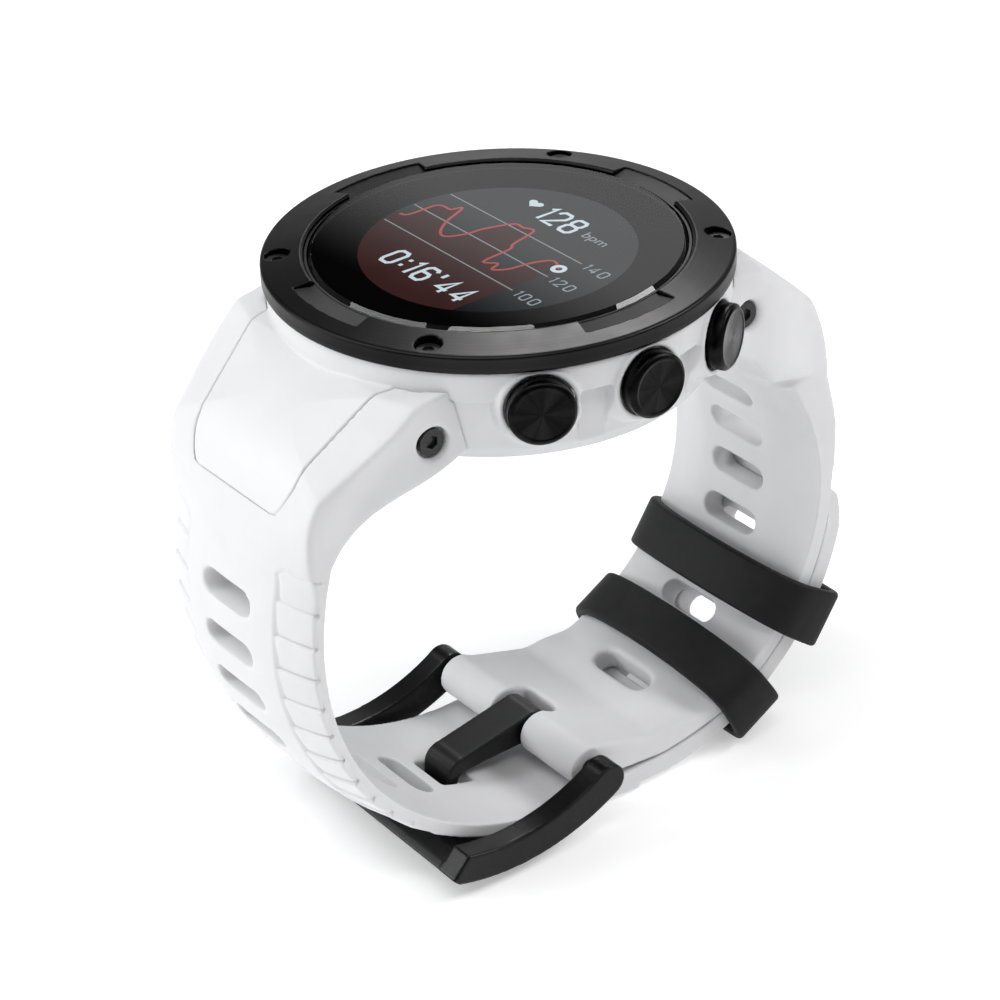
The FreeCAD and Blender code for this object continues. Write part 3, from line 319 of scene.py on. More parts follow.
# clear glass with the faintest unevenness in its colour
glass, glass_tree, glass_shader = new_material("watch_glass")
glass_shader.inputs["Transmission Weight"].default_value = 1.0
glass_shader.inputs["IOR"].default_value = 1.47
tint_place = glass_tree.nodes.new("ShaderNodeTexCoord")
tint_cloud = add(glass_tree, "ShaderNodeTexNoise", Scale=60.0, Detail=2.0)
tint_range = glass_tree.nodes.new("ShaderNodeValToRGB")
tint_range.color_ramp.elements[0].color = (0.965, 0.975, 0.975, 1.0)
tint_range.color_ramp.elements[1].color = (0.985, 0.99, 0.99, 1.0)
glass_tree.links.new(tint_place.outputs["Object"], tint_cloud.inputs["Vector"])
glass_tree.links.new(tint_cloud.outputs["Fac"], tint_range.inputs["Fac"])
glass_tree.links.new(tint_range.outputs["Color"], glass_shader.inputs["Base Color"])
glass_shader.inputs["Roughness"].default_value = 0.0

NODE_FINISHES = {
    WHITE_BODY: ["case_body"],
    WHITE_STRAP: ["strap_tail_half", "strap_buckle_half"],
    BEZEL: ["bezel_ring"],
    CLAMP: ["glass_clamp_ring"],
    BUTTON: ["button_upper_right", "button_middle_right", "button_lower_right", "button_upper_left",
             "button_lower_left"],
    SCREW: ["bezel_screws", "lug_screws"],
    BUCKLE: ["buckle_frame", "buckle_bar"],
    TONGUE: ["buckle_tongue"],
    RUBBER: ["keeper_upper", "keeper_lower"],
    STEEL: ["board_screws", "back_cover_screws", "vibration_motor_base", "vibration_motor_cover",
            "vibration_rotor", "button_clip_upper_right", "button_clip_middle_right",
            "button_clip_lower_right", "button_clip_upper_left", "button_clip_lower_left"],
    SEAL: ["glass_gasket", "back_gasket", "button_seals"],
    BRASS: ["lug_inserts", "button_sleeves"],
    FLEX: ["antenna_ring"],
    SHIELD: ["processor_shield", "tactile_switches"],
    FOIL: ["battery"],
    BOARD: ["main_circuit_board", "sensor_board"],
    DIFFUSER: ["backlight_plate"],
    LIGHTS: ["sensor_lights"],
    WINDOW: ["sensor_window"],
    GOLD: ["charging_contacts"],
    BACK: ["back_cover"],
    BLACK_PLASTIC: ["display_carrier", "display_panel"],
    glass: ["display_glass"],
}
for material, names in NODE_FINISHES.items():
    for node_name in names:
        nodes[node_name].data.materials.clear()
        nodes[node_name].data.materials.append(material)
unfinished = sorted(set(nodes) - {name for names in NODE_FINISHES.values() for name in names})
if unfinished:
    raise RuntimeError("no finish for " + ", ".join(unfinished))


# ------------------------------------------------------------------ camera, floor and light
AZIMUTH, ELEVATION, ROLL = (math.radians(angle) for angle in (54.069, 30.716, -2.662))
EYE_RIGHT, EYE_UP, EYE_BACK, AIM_HEIGHT = 0.224, -24.543, 289.172, 14.1
SENSOR_WIDTH, FOCAL_LENGTH = 36.0, 108.0
back = Vector((math.sin(AZIMUTH) * math.cos(ELEVATION), -math.cos(AZIMUTH) * math.cos(ELEVATION),
               math.sin(ELEVATION)))
level = Vector((0, 0, 1)).cross(back).normalized()
rise = back.cross(level)
right = math.cos(ROLL) * level + math.sin(ROLL) * rise
up = -math.sin(ROLL) * level + math.cos(ROLL) * rise
lens = bpy.data.cameras.new("camera")
lens.sensor_width = SENSOR_WIDTH
lens.lens = FOCAL_LENGTH
lens.clip_start = 0.01
lens.clip_end = 20.0
camera = link(bpy.data.objects.new("camera", lens))
eye = (EYE_RIGHT * right + EYE_UP * up + EYE_BACK * back + Vector((0, 0, AIM_HEIGHT))) * MM
camera.matrix_world = Matrix.Translation(eye) @ Matrix((
    (right.x, up.x, back.x), (right.y, up.y, back.y), (right.z, up.z, back.z))).to_4x4()
scene.camera = camera
scene.view_settings.view_transform = "Standard"

FLOOR_GAP = 0.0002
FLOOR_REACH = 4000.0
floor_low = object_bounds()[0].z - FLOOR_GAP
floor_material, floor_tree, floor_shader = new_material("floor_paper")
floor_shader.inputs["Base Color"].default_value = (0.9, 0.9, 0.9, 1.0)
floor_shader.inputs["Emission Color"].default_value = (1.0, 1.0, 1.0, 1.0)
floor_shader.inputs["Emission Strength"].default_value = 0.32
floor_shader.inputs["Roughness"].default_value = 0.9
floor_shader.inputs["Specular IOR Level"].default_value = 0.1
floor = square_sheet("floor", FLOOR_REACH, FLOOR_REACH, floor_low / MM, floor_material)

world = bpy.data.worlds.new("studio")
world.use_nodes = True
world.node_tree.nodes["Background"].inputs["Color"].default_value = (0.98, 0.99, 1.0, 1.0)
world.node_tree.nodes["Background"].inputs["Strength"].default_value = 0.16
scene.world = world


def heading(azimuth, elevation):
    """A unit direction: azimuth in degrees from -Y towards +X, elevation in degrees above the floor."""
    a, e = math.radians(azimuth), math.radians(elevation)
    return Vector((math.sin(a) * math.cos(e), -math.cos(a) * math.cos(e), math.sin(e)))


def softbox(name, azimuth, elevation, distance, width, height, radiance, colour=(1.0, 1.0, 1.0)):
    """A rectangular soft light facing the watch; radiance is what a mirror would show."""
    data = bpy.data.lights.new(name, "AREA")
    data.shape = "RECTANGLE"
    data.size = width
    data.size_y = height
    data.energy = radiance * math.pi * width * height
    data.color = colour
    direction = heading(azimuth, elevation)
    lamp = link(bpy.data.objects.new(name, data))
    lamp.location = direction * distance
    lamp.rotation_mode = "QUATERNION"
    lamp.rotation_quaternion = direction.to_track_quat("Z", "Y")
    return lamp


softbox("key_left", -36.0, 48.0, 0.7, 0.45, 0.35, 4.1, (0.98, 0.99, 1.0))
softbox("low_left", -36.0, 14.0, 0.7, 0.30, 0.20, 8.8, (0.98, 0.99, 1.0))
softbox("top", 20.0, 84.0, 0.6, 0.40, 0.40, 0.9)
softbox("front_edge", 50.0, 60.0, 0.6, 0.50, 0.08, 7.0, (1.0, 0.99, 0.98))
softbox("right_edge", 149.0, 37.0, 0.7, 0.30, 0.22, 10.5)
softbox("rim_back", 234.0, 45.0, 0.7, 0.30, 0.30, 1.6)
bezel_sheen = softbox("sheen", 225.0, 46.0, 0.42, 0.10, 0.08, 25.0)
bezel_sheen.visible_diffuse = False

# the shaded card that the glass mirrors: dark towards the watch's lower left, pale elsewhere
CARD_DISTANCE, CARD_HALF_WIDTH, CARD_HALF_HEIGHT = 450.0, 260.0, 190.0
CARD_DARK, CARD_PALE = 0.01, 0.78
SHADE_WAY = (0.477, -0.879, 0.0)
SHADE_START, SHADE_END = -9.0, 3.0
GLASS_HEIGHT = 14.6
glass_middle = Vector((0, 0, GLASS_HEIGHT))
to_glass = glass_middle - camera.matrix_world.translation / MM
card_way = Vector((to_glass.x, to_glass.y, -to_glass.z)).normalized()
card_right = Vector((0, 0, 1)).cross(-card_way).normalized()
card_up = (-card_way).cross(card_right)
spread = 1.0 + CARD_DISTANCE / to_glass.length
card_centre = card_way * CARD_DISTANCE + glass_middle
card_material = bpy.data.materials.new("card_glow")
card_material.use_nodes = True
card_tree = card_material.node_tree
card_tree.nodes.clear()
card_place = card_tree.nodes.new("ShaderNodeTexCoord")
card_dot = card_tree.nodes.new("ShaderNodeVectorMath")
card_dot.operation = "DOT_PRODUCT"
card_dot.inputs[1].default_value = SHADE_WAY
card_range = add(card_tree, "ShaderNodeMapRange")
card_range.interpolation_type = "SMOOTHSTEP"
card_range.inputs["From Min"].default_value = SHADE_START * spread * MM
card_range.inputs["From Max"].default_value = SHADE_END * spread * MM
card_range.inputs["To Min"].default_value = CARD_DARK
card_range.inputs["To Max"].default_value = CARD_PALE
card_light = card_tree.nodes.new("ShaderNodeEmission")
card_out = card_tree.nodes.new("ShaderNodeOutputMaterial")
card_tree.links.new(card_place.outputs["Object"], card_dot.inputs[0])
card_tree.links.new(card_dot.outputs["Value"], card_range.inputs["Value"])
card_tree.links.new(card_range.outputs["Result"], card_light.inputs["Strength"])
card_tree.links.new(card_light.outputs["Emission"], card_out.inputs["Surface"])
card = square_sheet("reflection_card", CARD_HALF_WIDTH, CARD_HALF_HEIGHT, 0.0, card_material)
card.matrix_world = Matrix.Translation(card_centre * MM) @ Matrix((
    (card_right.x, card_up.x, card_way.x), (card_right.y, card_up.y, card_way.y),
    (card_right.z, card_up.z, card_way.z))).to_4x4()
card.visible_camera = False
card.visible_diffuse = False
card.visible_shadow = False
card.visible_transmission = False


# ------------------------------------------------------------------ strap shaping, in millimetres
LEFT_Y, LEFT_Z, LEFT_INNER = -1.2, -15.3, 29.6
LEFT_OUTER_SHIFT, LEFT_OUTER = 2.2, 30.8
RIGHT_Y, RIGHT_Z, RIGHT_INNER, RIGHT_THICK = 9.2, -20.4, 21.5, 2.9
TAIL_OVERLAP_INNER, TAIL_OVERLAP_THICK = 24.5, 2.7
LOOP_HALF_WIDTH, FORK_HALF_WIDTH = 11.4, 15.0
FORK_CUT_Y, FORK_CUT_WIDTH = [23.0, 28.5, 32.0], [15.0, 12.6, 11.4]
HOOD_SIDE_Y, HOOD_SIDE_WIDTH, HOOD_SEAM_WIDTH = [20.5, 31.8], [11.0, 8.2], [10.4, 8.4]
HOOD_IN_LOOP = 4.4
BLOCK_START, BLOCK_PITCH, BLOCK_LINE = 162.5, 6.5, 7.6
BLOCK_RISE, BLOCK_SINK, GROOVE_DEPTH, GROOVE_HALF_WIDTH, SEAM_HALF_WIDTH = 0.26, 0.28, 0.15, 0.17, 0.14
BEZEL_CROWN, BEZEL_CROWN_RADIUS, BEZEL_SLOPE, BEZEL_WALL_RADIUS = 14.7, 19.05, 0.16, 22.98
BEZEL_LIP_HEIGHT, BEZEL_LIP_RADIUS, BEZEL_LIP_SLOPE = 14.5, 18.8, 0.8


def about(points, centre_y, centre_z):
    """Radius and angle in degrees of each point about an X axis."""
    y, z = points[:, 1] - centre_y, points[:, 2] - centre_z
    return np.hypot(y, z), np.degrees(np.arctan2(z, y)) % 360.0


def widened(points, side, depth, in_loop, loop_wide):
    """The fork's straight-sided taper becomes one smooth flare that runs on into the loop."""
    x, y = points[:, 0], np.abs(points[:, 1])
    cut_wide = np.where(in_loop, LOOP_HALF_WIDTH, np.interp(y, FORK_CUT_Y, FORK_CUT_WIDTH))
    narrowing = smoothstep(21.5, 32.5, y + 3.0 * (1.0 - depth))
    flare = loop_wide + (FORK_HALF_WIDTH - loop_wide) * (1.0 - narrowing)
    aim = np.where(in_loop, loop_wide, flare)
    hood = np.where(in_loop, HOOD_IN_LOOP, np.interp(y, HOOD_SIDE_Y, HOOD_SIDE_WIDTH))
    share = np.clip((np.abs(x) - hood) / (cut_wide - hood), 0.0, 1.0)
    new_x = np.where(np.abs(x) > hood, hood + share * (aim - hood), np.abs(x))
    fork_or_loop = side * points[:, 1] > 16.0
    points[:, 0] = np.where(fork_or_loop | in_loop, np.sign(x) * new_x, x)
    return points


def beside_hood(points, side):
    """How far each point is clear of the hood panel: sideways, and below its lower edge."""
    seam = np.interp(side * points[:, 1], HOOD_SIDE_Y, HOOD_SEAM_WIDTH)
    wide_enough = smoothstep(1.0, 2.0, np.abs(points[:, 0]) - seam)
    below_hood = smoothstep(0.0, 2.0, -points[:, 2] - 2.5)
    return wide_enough, below_hood


def shape_tail(points, edges):
    """Crowns the long half, rounds its fork into the loop and raises the row of overlapping scales."""
    radius, angle = about(points, LEFT_Y, LEFT_Z)
    shift = -LEFT_OUTER_SHIFT * np.cos(np.radians(angle))
    outer = shift + np.sqrt(LEFT_OUTER ** 2 - LEFT_OUTER_SHIFT ** 2 + shift ** 2)
    depth = np.clip((radius - LEFT_INNER) / (outer - LEFT_INNER), 0.0, 1.0)
    on_left = (points[:, 1] < 2.0) & (angle > 120.0) & (angle < 275.0)
    past = 0.4566 * (points[:, 1] + 29.0) - 0.8896 * (points[:, 2] + 5.2)
    in_loop = (past > 0.0) & on_left
    points = widened(points, -1.0, depth, in_loop, 12.0 - 0.6 * smoothstep(190.0, 245.0, angle))
    across = np.clip(np.abs(points[:, 0]) / 12.0, 0.0, 1.1)
    drop = np.clip(outer - 31.05, 0.0, 3.0) * smoothstep(150.0, 167.0, angle) * across ** 2.5
    moved = np.where(on_left, depth * drop, 0.0)
    beyond = about(points, RIGHT_Y, RIGHT_Z)[0]
    on_right = (points[:, 1] > 7.0) & (points[:, 2] < -15.0)
    right_depth = np.clip((beyond - TAIL_OVERLAP_INNER) / TAIL_OVERLAP_THICK, 0.0, 1.0)
    right_moved = np.where(on_right, right_depth * 0.7 * across ** 3, 0.0)
    points = pulled(points, LEFT_Y, LEFT_Z, moved)
    points = pulled(points, RIGHT_Y, RIGHT_Z, right_moved)
    near_join = np.exp(-(past / 3.5) ** 2) * on_left
    arms = smoothstep(17.0, 21.0, -points[:, 1]) * smoothstep(-9.0, -5.0, points[:, 2])
    wide_enough, below_hood = beside_hood(points, -1.0)
    weight = 0.6 * np.clip(near_join * below_hood + arms * np.maximum(wide_enough, below_hood), 0.0, 1.0)
    points = relaxed(points, edges, weight, 26)
    return scaled_edge(points, on_left, depth)


def pulled(points, centre_y, centre_z, amount):
    """Moves points towards an X axis by an amount each."""
    y, z = points[:, 1] - centre_y, points[:, 2] - centre_z
    radius = np.maximum(np.hypot(y, z), 1.0)
    points[:, 1] = centre_y + y * (radius - amount) / radius
    points[:, 2] = centre_z + z * (radius - amount) / radius
    return points


def scaled_edge(points, on_left, depth):
    """Overlapping scales along both edges of the long half: each stands proud at its top and sinks below."""
    angle = about(points, LEFT_Y, LEFT_Z)[1]
    phase = (angle - BLOCK_START) / BLOCK_PITCH
    ramp = 1.0 - (phase - np.floor(phase))
    fade = smoothstep(BLOCK_START - 0.2, BLOCK_START + 0.2, angle) * (1.0 - smoothstep(222.0, 246.0, angle))
    x = np.abs(points[:, 0])
    corner = BLOCK_LINE + 0.8 * (1.0 - smoothstep(BLOCK_START, BLOCK_START + 1.6, angle))
    strip = smoothstep(corner - 0.12, corner + 0.12, x) * fade * on_left
    outside = smoothstep(0.55, 0.8, depth)
    raise_by = strip * outside * (BLOCK_RISE * ramp - BLOCK_SINK)
    step_mm = np.minimum(1.0 - ramp, ramp) * BLOCK_PITCH * 0.54
    seam = np.exp(-(step_mm / SEAM_HALF_WIDTH) ** 2) * strip
    edge_line = np.exp(-((x - corner) / GROOVE_HALF_WIDTH) ** 2) * fade * on_left
    groove = np.maximum(edge_line, seam) * outside * GROOVE_DEPTH
    at_side = strip * smoothstep(0.35, 0.8, depth) * smoothstep(10.6, 11.6, x)
    lateral = at_side * (BLOCK_RISE * ramp - 0.10)
    points[:, 0] += np.sign(points[:, 0]) * lateral
    return pulled(points, LEFT_Y, LEFT_Z, groove - raise_by)


def shape_buckle_half(points, edges):
    """Crowns the short half towards the wrist and runs its roll into the strap without a crease."""
    radius, angle = about(points, RIGHT_Y, RIGHT_Z)
    depth = np.clip((radius - RIGHT_INNER) / RIGHT_THICK, 0.0, 1.0)
    turn = (angle + 180.0) % 360.0 - 180.0
    in_loop = (turn < 38.0) & (turn > -120.0) & (points[:, 2] < -6.0)
    points = widened(points, 1.0, depth, in_loop, LOOP_HALF_WIDTH + 0.5 * smoothstep(-25.0, 20.0, turn))
    across = smoothstep(5.0, 12.0, np.abs(points[:, 0]))
    sink = np.where(in_loop & (turn > -84.0), (1.0 - depth) * 1.15 * across, 0.0)
    points = pulled(points, RIGHT_Y, RIGHT_Z, -sink * smoothstep(-84.0, -72.0, turn))
    roll = (1.0 - smoothstep(-76.0, -66.0, turn)) * in_loop * smoothstep(1.2, 2.2, points[:, 1])
    arms = smoothstep(17.0, 21.0, points[:, 1]) * smoothstep(-13.0, -7.0, points[:, 2])
    wide_enough, below_hood = beside_hood(points, 1.0)
    weight = 0.6 * np.clip(roll + arms * np.maximum(wide_enough, below_hood), 0.0, 1.0)
    return relaxed(points, edges, weight, 40)


def shape_bezel(points, _edges):
    """The sloped top, the inner lip and the outer wall stay true turned surfaces."""
    radius = np.hypot(points[:, 0], points[:, 1])
    slope = BEZEL_CROWN - (radius - BEZEL_CROWN_RADIUS) * BEZEL_SLOPE
    on_top = (np.abs(points[:, 2] - slope) < 0.075) & (radius > 19.1) & (radius < 22.72)
    points[on_top, 2] = slope[on_top]
    lip = BEZEL_LIP_HEIGHT + (radius - BEZEL_LIP_RADIUS) * BEZEL_LIP_SLOPE
    near_lip = (radius > 18.7) & (radius < 19.06) & (points[:, 2] > 14.44)
    on_lip = (np.abs(points[:, 2] - lip) < 0.1) & near_lip
    points[on_lip, 2] = lip[on_lip]
    on_wall = (np.abs(radius - BEZEL_WALL_RADIUS) < 0.07) & (points[:, 2] < 13.85) & (points[:, 2] > 13.0)
    points[on_wall, :2] *= (BEZEL_WALL_RADIUS / radius[on_wall])[:, None]
    return points


def shape_buckle(points, _edges):
    """The arms lean in towards the roll, their inner faces more than their outer ones."""
    half_width = np.abs(points[:, 0])
    lean = 0.62 * smoothstep(9.5, 12.4, half_width) - 0.36 * smoothstep(13.2, 15.2, half_width)
    points[:, 0] -= np.sign(points[:, 0]) * lean
    return points


# ------------------------------------------------------------------ case, bezel, strap, keepers, buckle
settle(moulded("case_body", "case_shell", WHITE_BODY, 0.14, 4), "watch", "white_case", "case_body")
settle(moulded("bezel_ring", "bezel", BEZEL, 0.11, 2, shape_bezel), "watch", "black_steel", "bezel_ring")
settle(moulded("strap_tail_half", "strap_tail", WHITE_STRAP, 0.16, 9, shape_tail), "watch", "white_silicone",
       "strap_tail_half")
settle(moulded("strap_buckle_half", "strap_buckle", WHITE_STRAP, 0.17, 9, shape_buckle_half), "watch",
       "white_silicone", "strap_buckle_half")
settle(moulded("buckle_frame", "buckle", BUCKLE, 0.13, 7, shape_buckle), "buckle_frame", "black_buckle",
       "buckle_frame")
settle(moulded("buckle_tongue", "tongue", TONGUE, 0.12, 14), "buckle_tongue", "black_buckle", "buckle_tongue")


def closed_curve(corners, per_span):
    """A smooth closed curve through its corners, as evenly shared points."""
    count = len(corners)
    curve = []
    for index in range(count):
        before, start, end, after = (np.array(corners[(index + step) % count], float)
                                     for step in (-1, 0, 1, 2))
        for part in range(per_span):
            curve.append(rounded_span(before, start, end, after, part / per_span))
    return np.array(curve)


def rounded_section(half_thick, half_wide, corner, steps=5):
    """A rounded rectangle as (thickness, width) pairs."""
    ring = []
    for sign_t, sign_w, start in ((1, 1, 0), (-1, 1, 90), (-1, -1, 180), (1, -1, 270)):
        for step in range(steps):
            a = math.radians(start + 90.0 * step / (steps - 1))
            ring.append((sign_t * (half_thick - corner) + corner * math.cos(a),
                         sign_w * (half_wide - corner) + corner * math.sin(a)))
    return ring


KEEPER_HALF_THICK, KEEPER_HALF_WIDE, KEEPER_CORNER = 0.64, 2.78, 0.42


def keeper_loop(name, degrees):
    """A soft rubber loop round both strap layers: arched on the wrist side, square-shouldered outside."""
    half = [(4.2, 19.65), (7.6, 20.25), (10.4, 21.25), (12.0, 22.75), (12.45, 24.6), (12.48, 26.7),
            (12.1, 27.95), (10.9, 28.33), (6.0, 28.4)]
    corners = [(0.0, 19.4)] + half + [(0.0, 28.4)] + [(-x, r) for x, r in reversed(half)]
    line = closed_curve(corners, 9)
    ahead = np.roll(line, -1, axis=0) - np.roll(line, 1, axis=0)
    ahead /= np.linalg.norm(ahead, axis=1)[:, None]
    outward = np.stack([ahead[:, 1], -ahead[:, 0]], axis=1)
    verts, faces = [], []
    section = rounded_section(KEEPER_HALF_THICK, KEEPER_HALF_WIDE, KEEPER_CORNER)
    for (x, r), (nx, nr) in zip(line, outward):
        for thick, wide in section:
            radius = r + nr * thick
            turn = math.radians(degrees) + wide * (0.62 + 0.38 * r / 20.0) / r
            verts.append((x + nx * thick, RIGHT_Y + radius * math.cos(turn),
                          RIGHT_Z + radius * math.sin(turn)))
    size, count = len(section), len(line)
    for i in range(count):
        for j in range(size):
            a, b = i * size + j, i * size + (j + 1) % size
            c, d = ((i + 1) % count) * size + (j + 1) % size, ((i + 1) % count) * size + j
            faces.append((a, b, c, d))
    obj = mesh_object(name, verts, faces, RUBBER)
    face_outward(obj)
    return obj


settle(keeper_loop("keeper_loop_upper", -35.0), "keeper_upper", "black_rubber", "keeper_upper")
settle(keeper_loop("keeper_loop_lower", -61.0), "keeper_lower", "black_rubber", "keeper_lower")


# ------------------------------------------------------------------ buttons
def lathe(name, profile, material, place, spokes=96):
    """A turned piece from a (radius, height) profile about its own Z axis."""
    verts, faces = [], []
    for radius, height in profile:
        for spoke in range(spokes):
            a = 2.0 * math.pi * spoke / spokes
            verts.append((radius * math.cos(a), radius * math.sin(a), height))
    for row in range(len(profile) - 1):
        for spoke in range(spokes):
            after = (spoke + 1) % spokes
            faces.append((row * spokes + spoke, row * spokes + after, (row + 1) * spokes + after,
                          (row + 1) * spokes + spoke))
    top = len(verts)
    verts.append((0.0, 0.0, profile[0][1]))
    foot = len(verts)
    verts.append((0.0, 0.0, profile[-1][1]))
    last = (len(profile) - 1) * spokes
    for spoke in range(spokes):
        after = (spoke + 1) % spokes
        faces.append((top, after, spoke))
        faces.append((foot, last + spoke, last + after))
    obj = mesh_object(name, verts, faces, material)
    face_outward(obj)
    obj.data.set_sharp_from_angle(angle=math.radians(35.0))
    obj.matrix_world = place
    return obj


BUTTON_FACE_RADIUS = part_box("button_middle_right")[1].x / MM
BUTTON_LENGTH = BUTTON_FACE_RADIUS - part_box("button_middle_right")[0].x / MM
BUTTON_HEIGHT = (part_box("button_middle_right")[0].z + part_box("button_middle_right")[1].z) / 2 / MM
BUTTON_PROFILE = [(0.25, -0.10), (0.9, -0.095), (1.6, -0.085), (2.45, -0.07), (2.60, -0.05), (2.68, 0.0),
                  (2.82, 0.0), (2.92, -0.02), (3.19, -0.28), (3.23, -0.34), (3.245, -0.44), (3.245, -1.55),
                  (3.2, -1.72), (3.05, -1.8), (1.25, -1.8), (1.18, -1.88), (1.18, -BUTTON_LENGTH + 0.15),
                  (1.05, -BUTTON_LENGTH)]
BUTTONS = {"upper_right": 28.0, "middle_right": 0.0, "lower_right": -28.0, "upper_left": 152.0,
           "lower_left": 208.0}
for place, degrees in BUTTONS.items():
    turn = Matrix.Rotation(math.radians(degrees), 4, "Z") @ Matrix.Rotation(math.radians(90.0), 4, "Y")
    outward_step = Vector((math.cos(math.radians(degrees)), math.sin(math.radians(degrees)), 0.0))
    spot = Matrix.Translation((outward_step * BUTTON_FACE_RADIUS + Vector((0, 0, BUTTON_HEIGHT))) * MM)
    settle(lathe("button_" + place + "_turned", BUTTON_PROFILE, BUTTON, spot @ turn), "button_" + place,
           "black_buttons", "button_" + place)


# ------------------------------------------------------------------ display
# painted reflection: where the dark screen's glow starts and stops rising towards 12 o'clock
PAINTED_REFLECTION_START, PAINTED_REFLECTION_END = -14.0 * MM, 5.0 * MM
LINE_THICK, FIGURE_THICK, ICON_THICK = 0.015, 0.012, 0.015


def glow(name, colour, strength=1.0, flicker=0.12, painted_reflection=None):
    """A lit part of the display: its own colour, with the slight unevenness of a backlight.
    A painted reflection is the strength that it rises to towards 12 o'clock: painted glare standing in for the
    grey reflection in the glass.
    """
    material, tree, shader = new_material(name)
    place = tree.nodes.new("ShaderNodeTexCoord")
    cloud = add(tree, "ShaderNodeTexNoise", Scale=160.0, Detail=2.0)
    tree.links.new(place.outputs["Object"], cloud.inputs["Vector"])
    tint = tree.nodes.new("ShaderNodeValToRGB")
    tint.color_ramp.elements[0].color = [c * (1.0 - flicker) for c in colour] + [1.0]
    tint.color_ramp.elements[1].color = [c * (1.0 + flicker) for c in colour] + [1.0]
    tree.links.new(cloud.outputs["Fac"], tint.inputs["Fac"])
    tree.links.new(tint.outputs["Color"], shader.inputs["Emission Color"])
    if painted_reflection:
        split = tree.nodes.new("ShaderNodeSeparateXYZ")
        tree.links.new(place.outputs["Object"], split.inputs["Vector"])
        painted_reflection_ramp = add(tree, "ShaderNodeMapRange")
        painted_reflection_ramp.interpolation_type = "SMOOTHSTEP"
        painted_reflection_ramp.inputs["From Min"].default_value = PAINTED_REFLECTION_START
        painted_reflection_ramp.inputs["From Max"].default_value = PAINTED_REFLECTION_END
        painted_reflection_ramp.inputs["To Min"].default_value = strength
        painted_reflection_ramp.inputs["To Max"].default_value = painted_reflection
        tree.links.new(split.outputs["Y"], painted_reflection_ramp.inputs["Value"])
        tree.links.new(painted_reflection_ramp.outputs["Result"], shader.inputs["Emission Strength"])
    else:
        shader.inputs["Emission Strength"].default_value = strength
    shader.inputs["Base Color"].default_value = (0.0004, 0.0004, 0.0004, 1.0)
    shader.inputs["Roughness"].default_value = 0.5
    shader.inputs["Specular IOR Level"].default_value = 0.0
    return material


# the dark screen carries a painted reflection: its glow rises eightfold towards 12 o'clock in place of the
# glass's grey glare
SCREEN = glow("screen_dark", (0.0045, 0.0050, 0.0055), painted_reflection=8.0)
MASK = glow("screen_border", (0.0004, 0.0004, 0.0004))
WARM = glow("chart_fill", (0.042, 0.014, 0.014), flicker=0.25)
DIGITS = glow("readout_pale", (0.62, 0.74, 0.80), flicker=0.05)
DIM_DIGITS = glow("readout_dim", (0.30, 0.36, 0.40), flicker=0.05)
LINES = glow("chart_lines", (0.24, 0.28, 0.29), flicker=0.05)
TRACE = glow("chart_trace", (0.42, 0.075, 0.07), flicker=0.1)
SCREEN_RADIUS = 13.55
BORDER_RADIUS = 18.1
SCREEN_IN_GLASS = 0.14
SCREEN_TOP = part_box("display_glass")[0].z / MM + SCREEN_IN_GLASS


def plate(name, outline, top, thick, material):
    """A thin flat plate of any outline, its upper face at a height."""
    count = len(outline)
    verts = [(x, y, top) for x, y in outline] + [(x, y, top - thick) for x, y in outline]
    faces = [tuple(range(count)), tuple(range(2 * count - 1, count - 1, -1))]
    faces += [(i, i + count, (i + 1) % count + count, (i + 1) % count) for i in range(count)]
    return settle(mesh_object(name, verts, faces, material, smooth=False), "watch", "display")


def circle(radius, steps=128, x=0.0, y=0.0):
    return [(x + radius * math.cos(2 * math.pi * i / steps), y + radius * math.sin(2 * math.pi * i / steps))
            for i in range(steps)]


def band(name, outer, inner, top, thick, material):
    """A flat ring between two outlines with the same number of points."""
    count = len(outer)
    verts = [(x, y, z) for z in (top, top - thick) for ring in (outer, inner) for x, y in ring]
    faces = []
    for i in range(count):
        j = (i + 1) % count
        faces.append((i, j, j + count, i + count))
        faces.append((i + 2 * count, i + 3 * count, j + 3 * count, j + 2 * count))
        faces.append((i, i + 2 * count, j + 2 * count, j))
        faces.append((i + count, j + count, j + 3 * count, i + 3 * count))
    return settle(mesh_object(name, verts, faces, material, smooth=False), "watch", "display")


def ribbon(name, line, width, top, material):
    """A flat line of even width along points."""
    line = [np.array(point, float) for point in line]
    left, right = [], []
    for index, point in enumerate(line):
        ahead = line[min(index + 1, len(line) - 1)] - line[max(index - 1, 0)]
        ahead = ahead / np.linalg.norm(ahead)
        side = np.array([-ahead[1], ahead[0]]) * width / 2
        left.append(tuple(point + side))
        right.append(tuple(point - side))
    verts = [(x, y, top) for x, y in left] + [(x, y, top) for x, y in right]
    verts += [(x, y, top - LINE_THICK) for x, y in left] + [(x, y, top - LINE_THICK) for x, y in right]
    n = len(line)
    faces = []
    for i in range(n - 1):
        faces.append((i, i + n, i + n + 1, i + 1))
        faces.append((i + 2 * n, i + 1 + 2 * n, i + 1 + 3 * n, i + 3 * n))
        faces.append((i, i + 1, i + 1 + 2 * n, i + 2 * n))
        faces.append((i + n, i + 3 * n, i + 1 + 3 * n, i + 1 + n))
    return settle(mesh_object(name, verts, faces, material, smooth=False), "watch", "display")


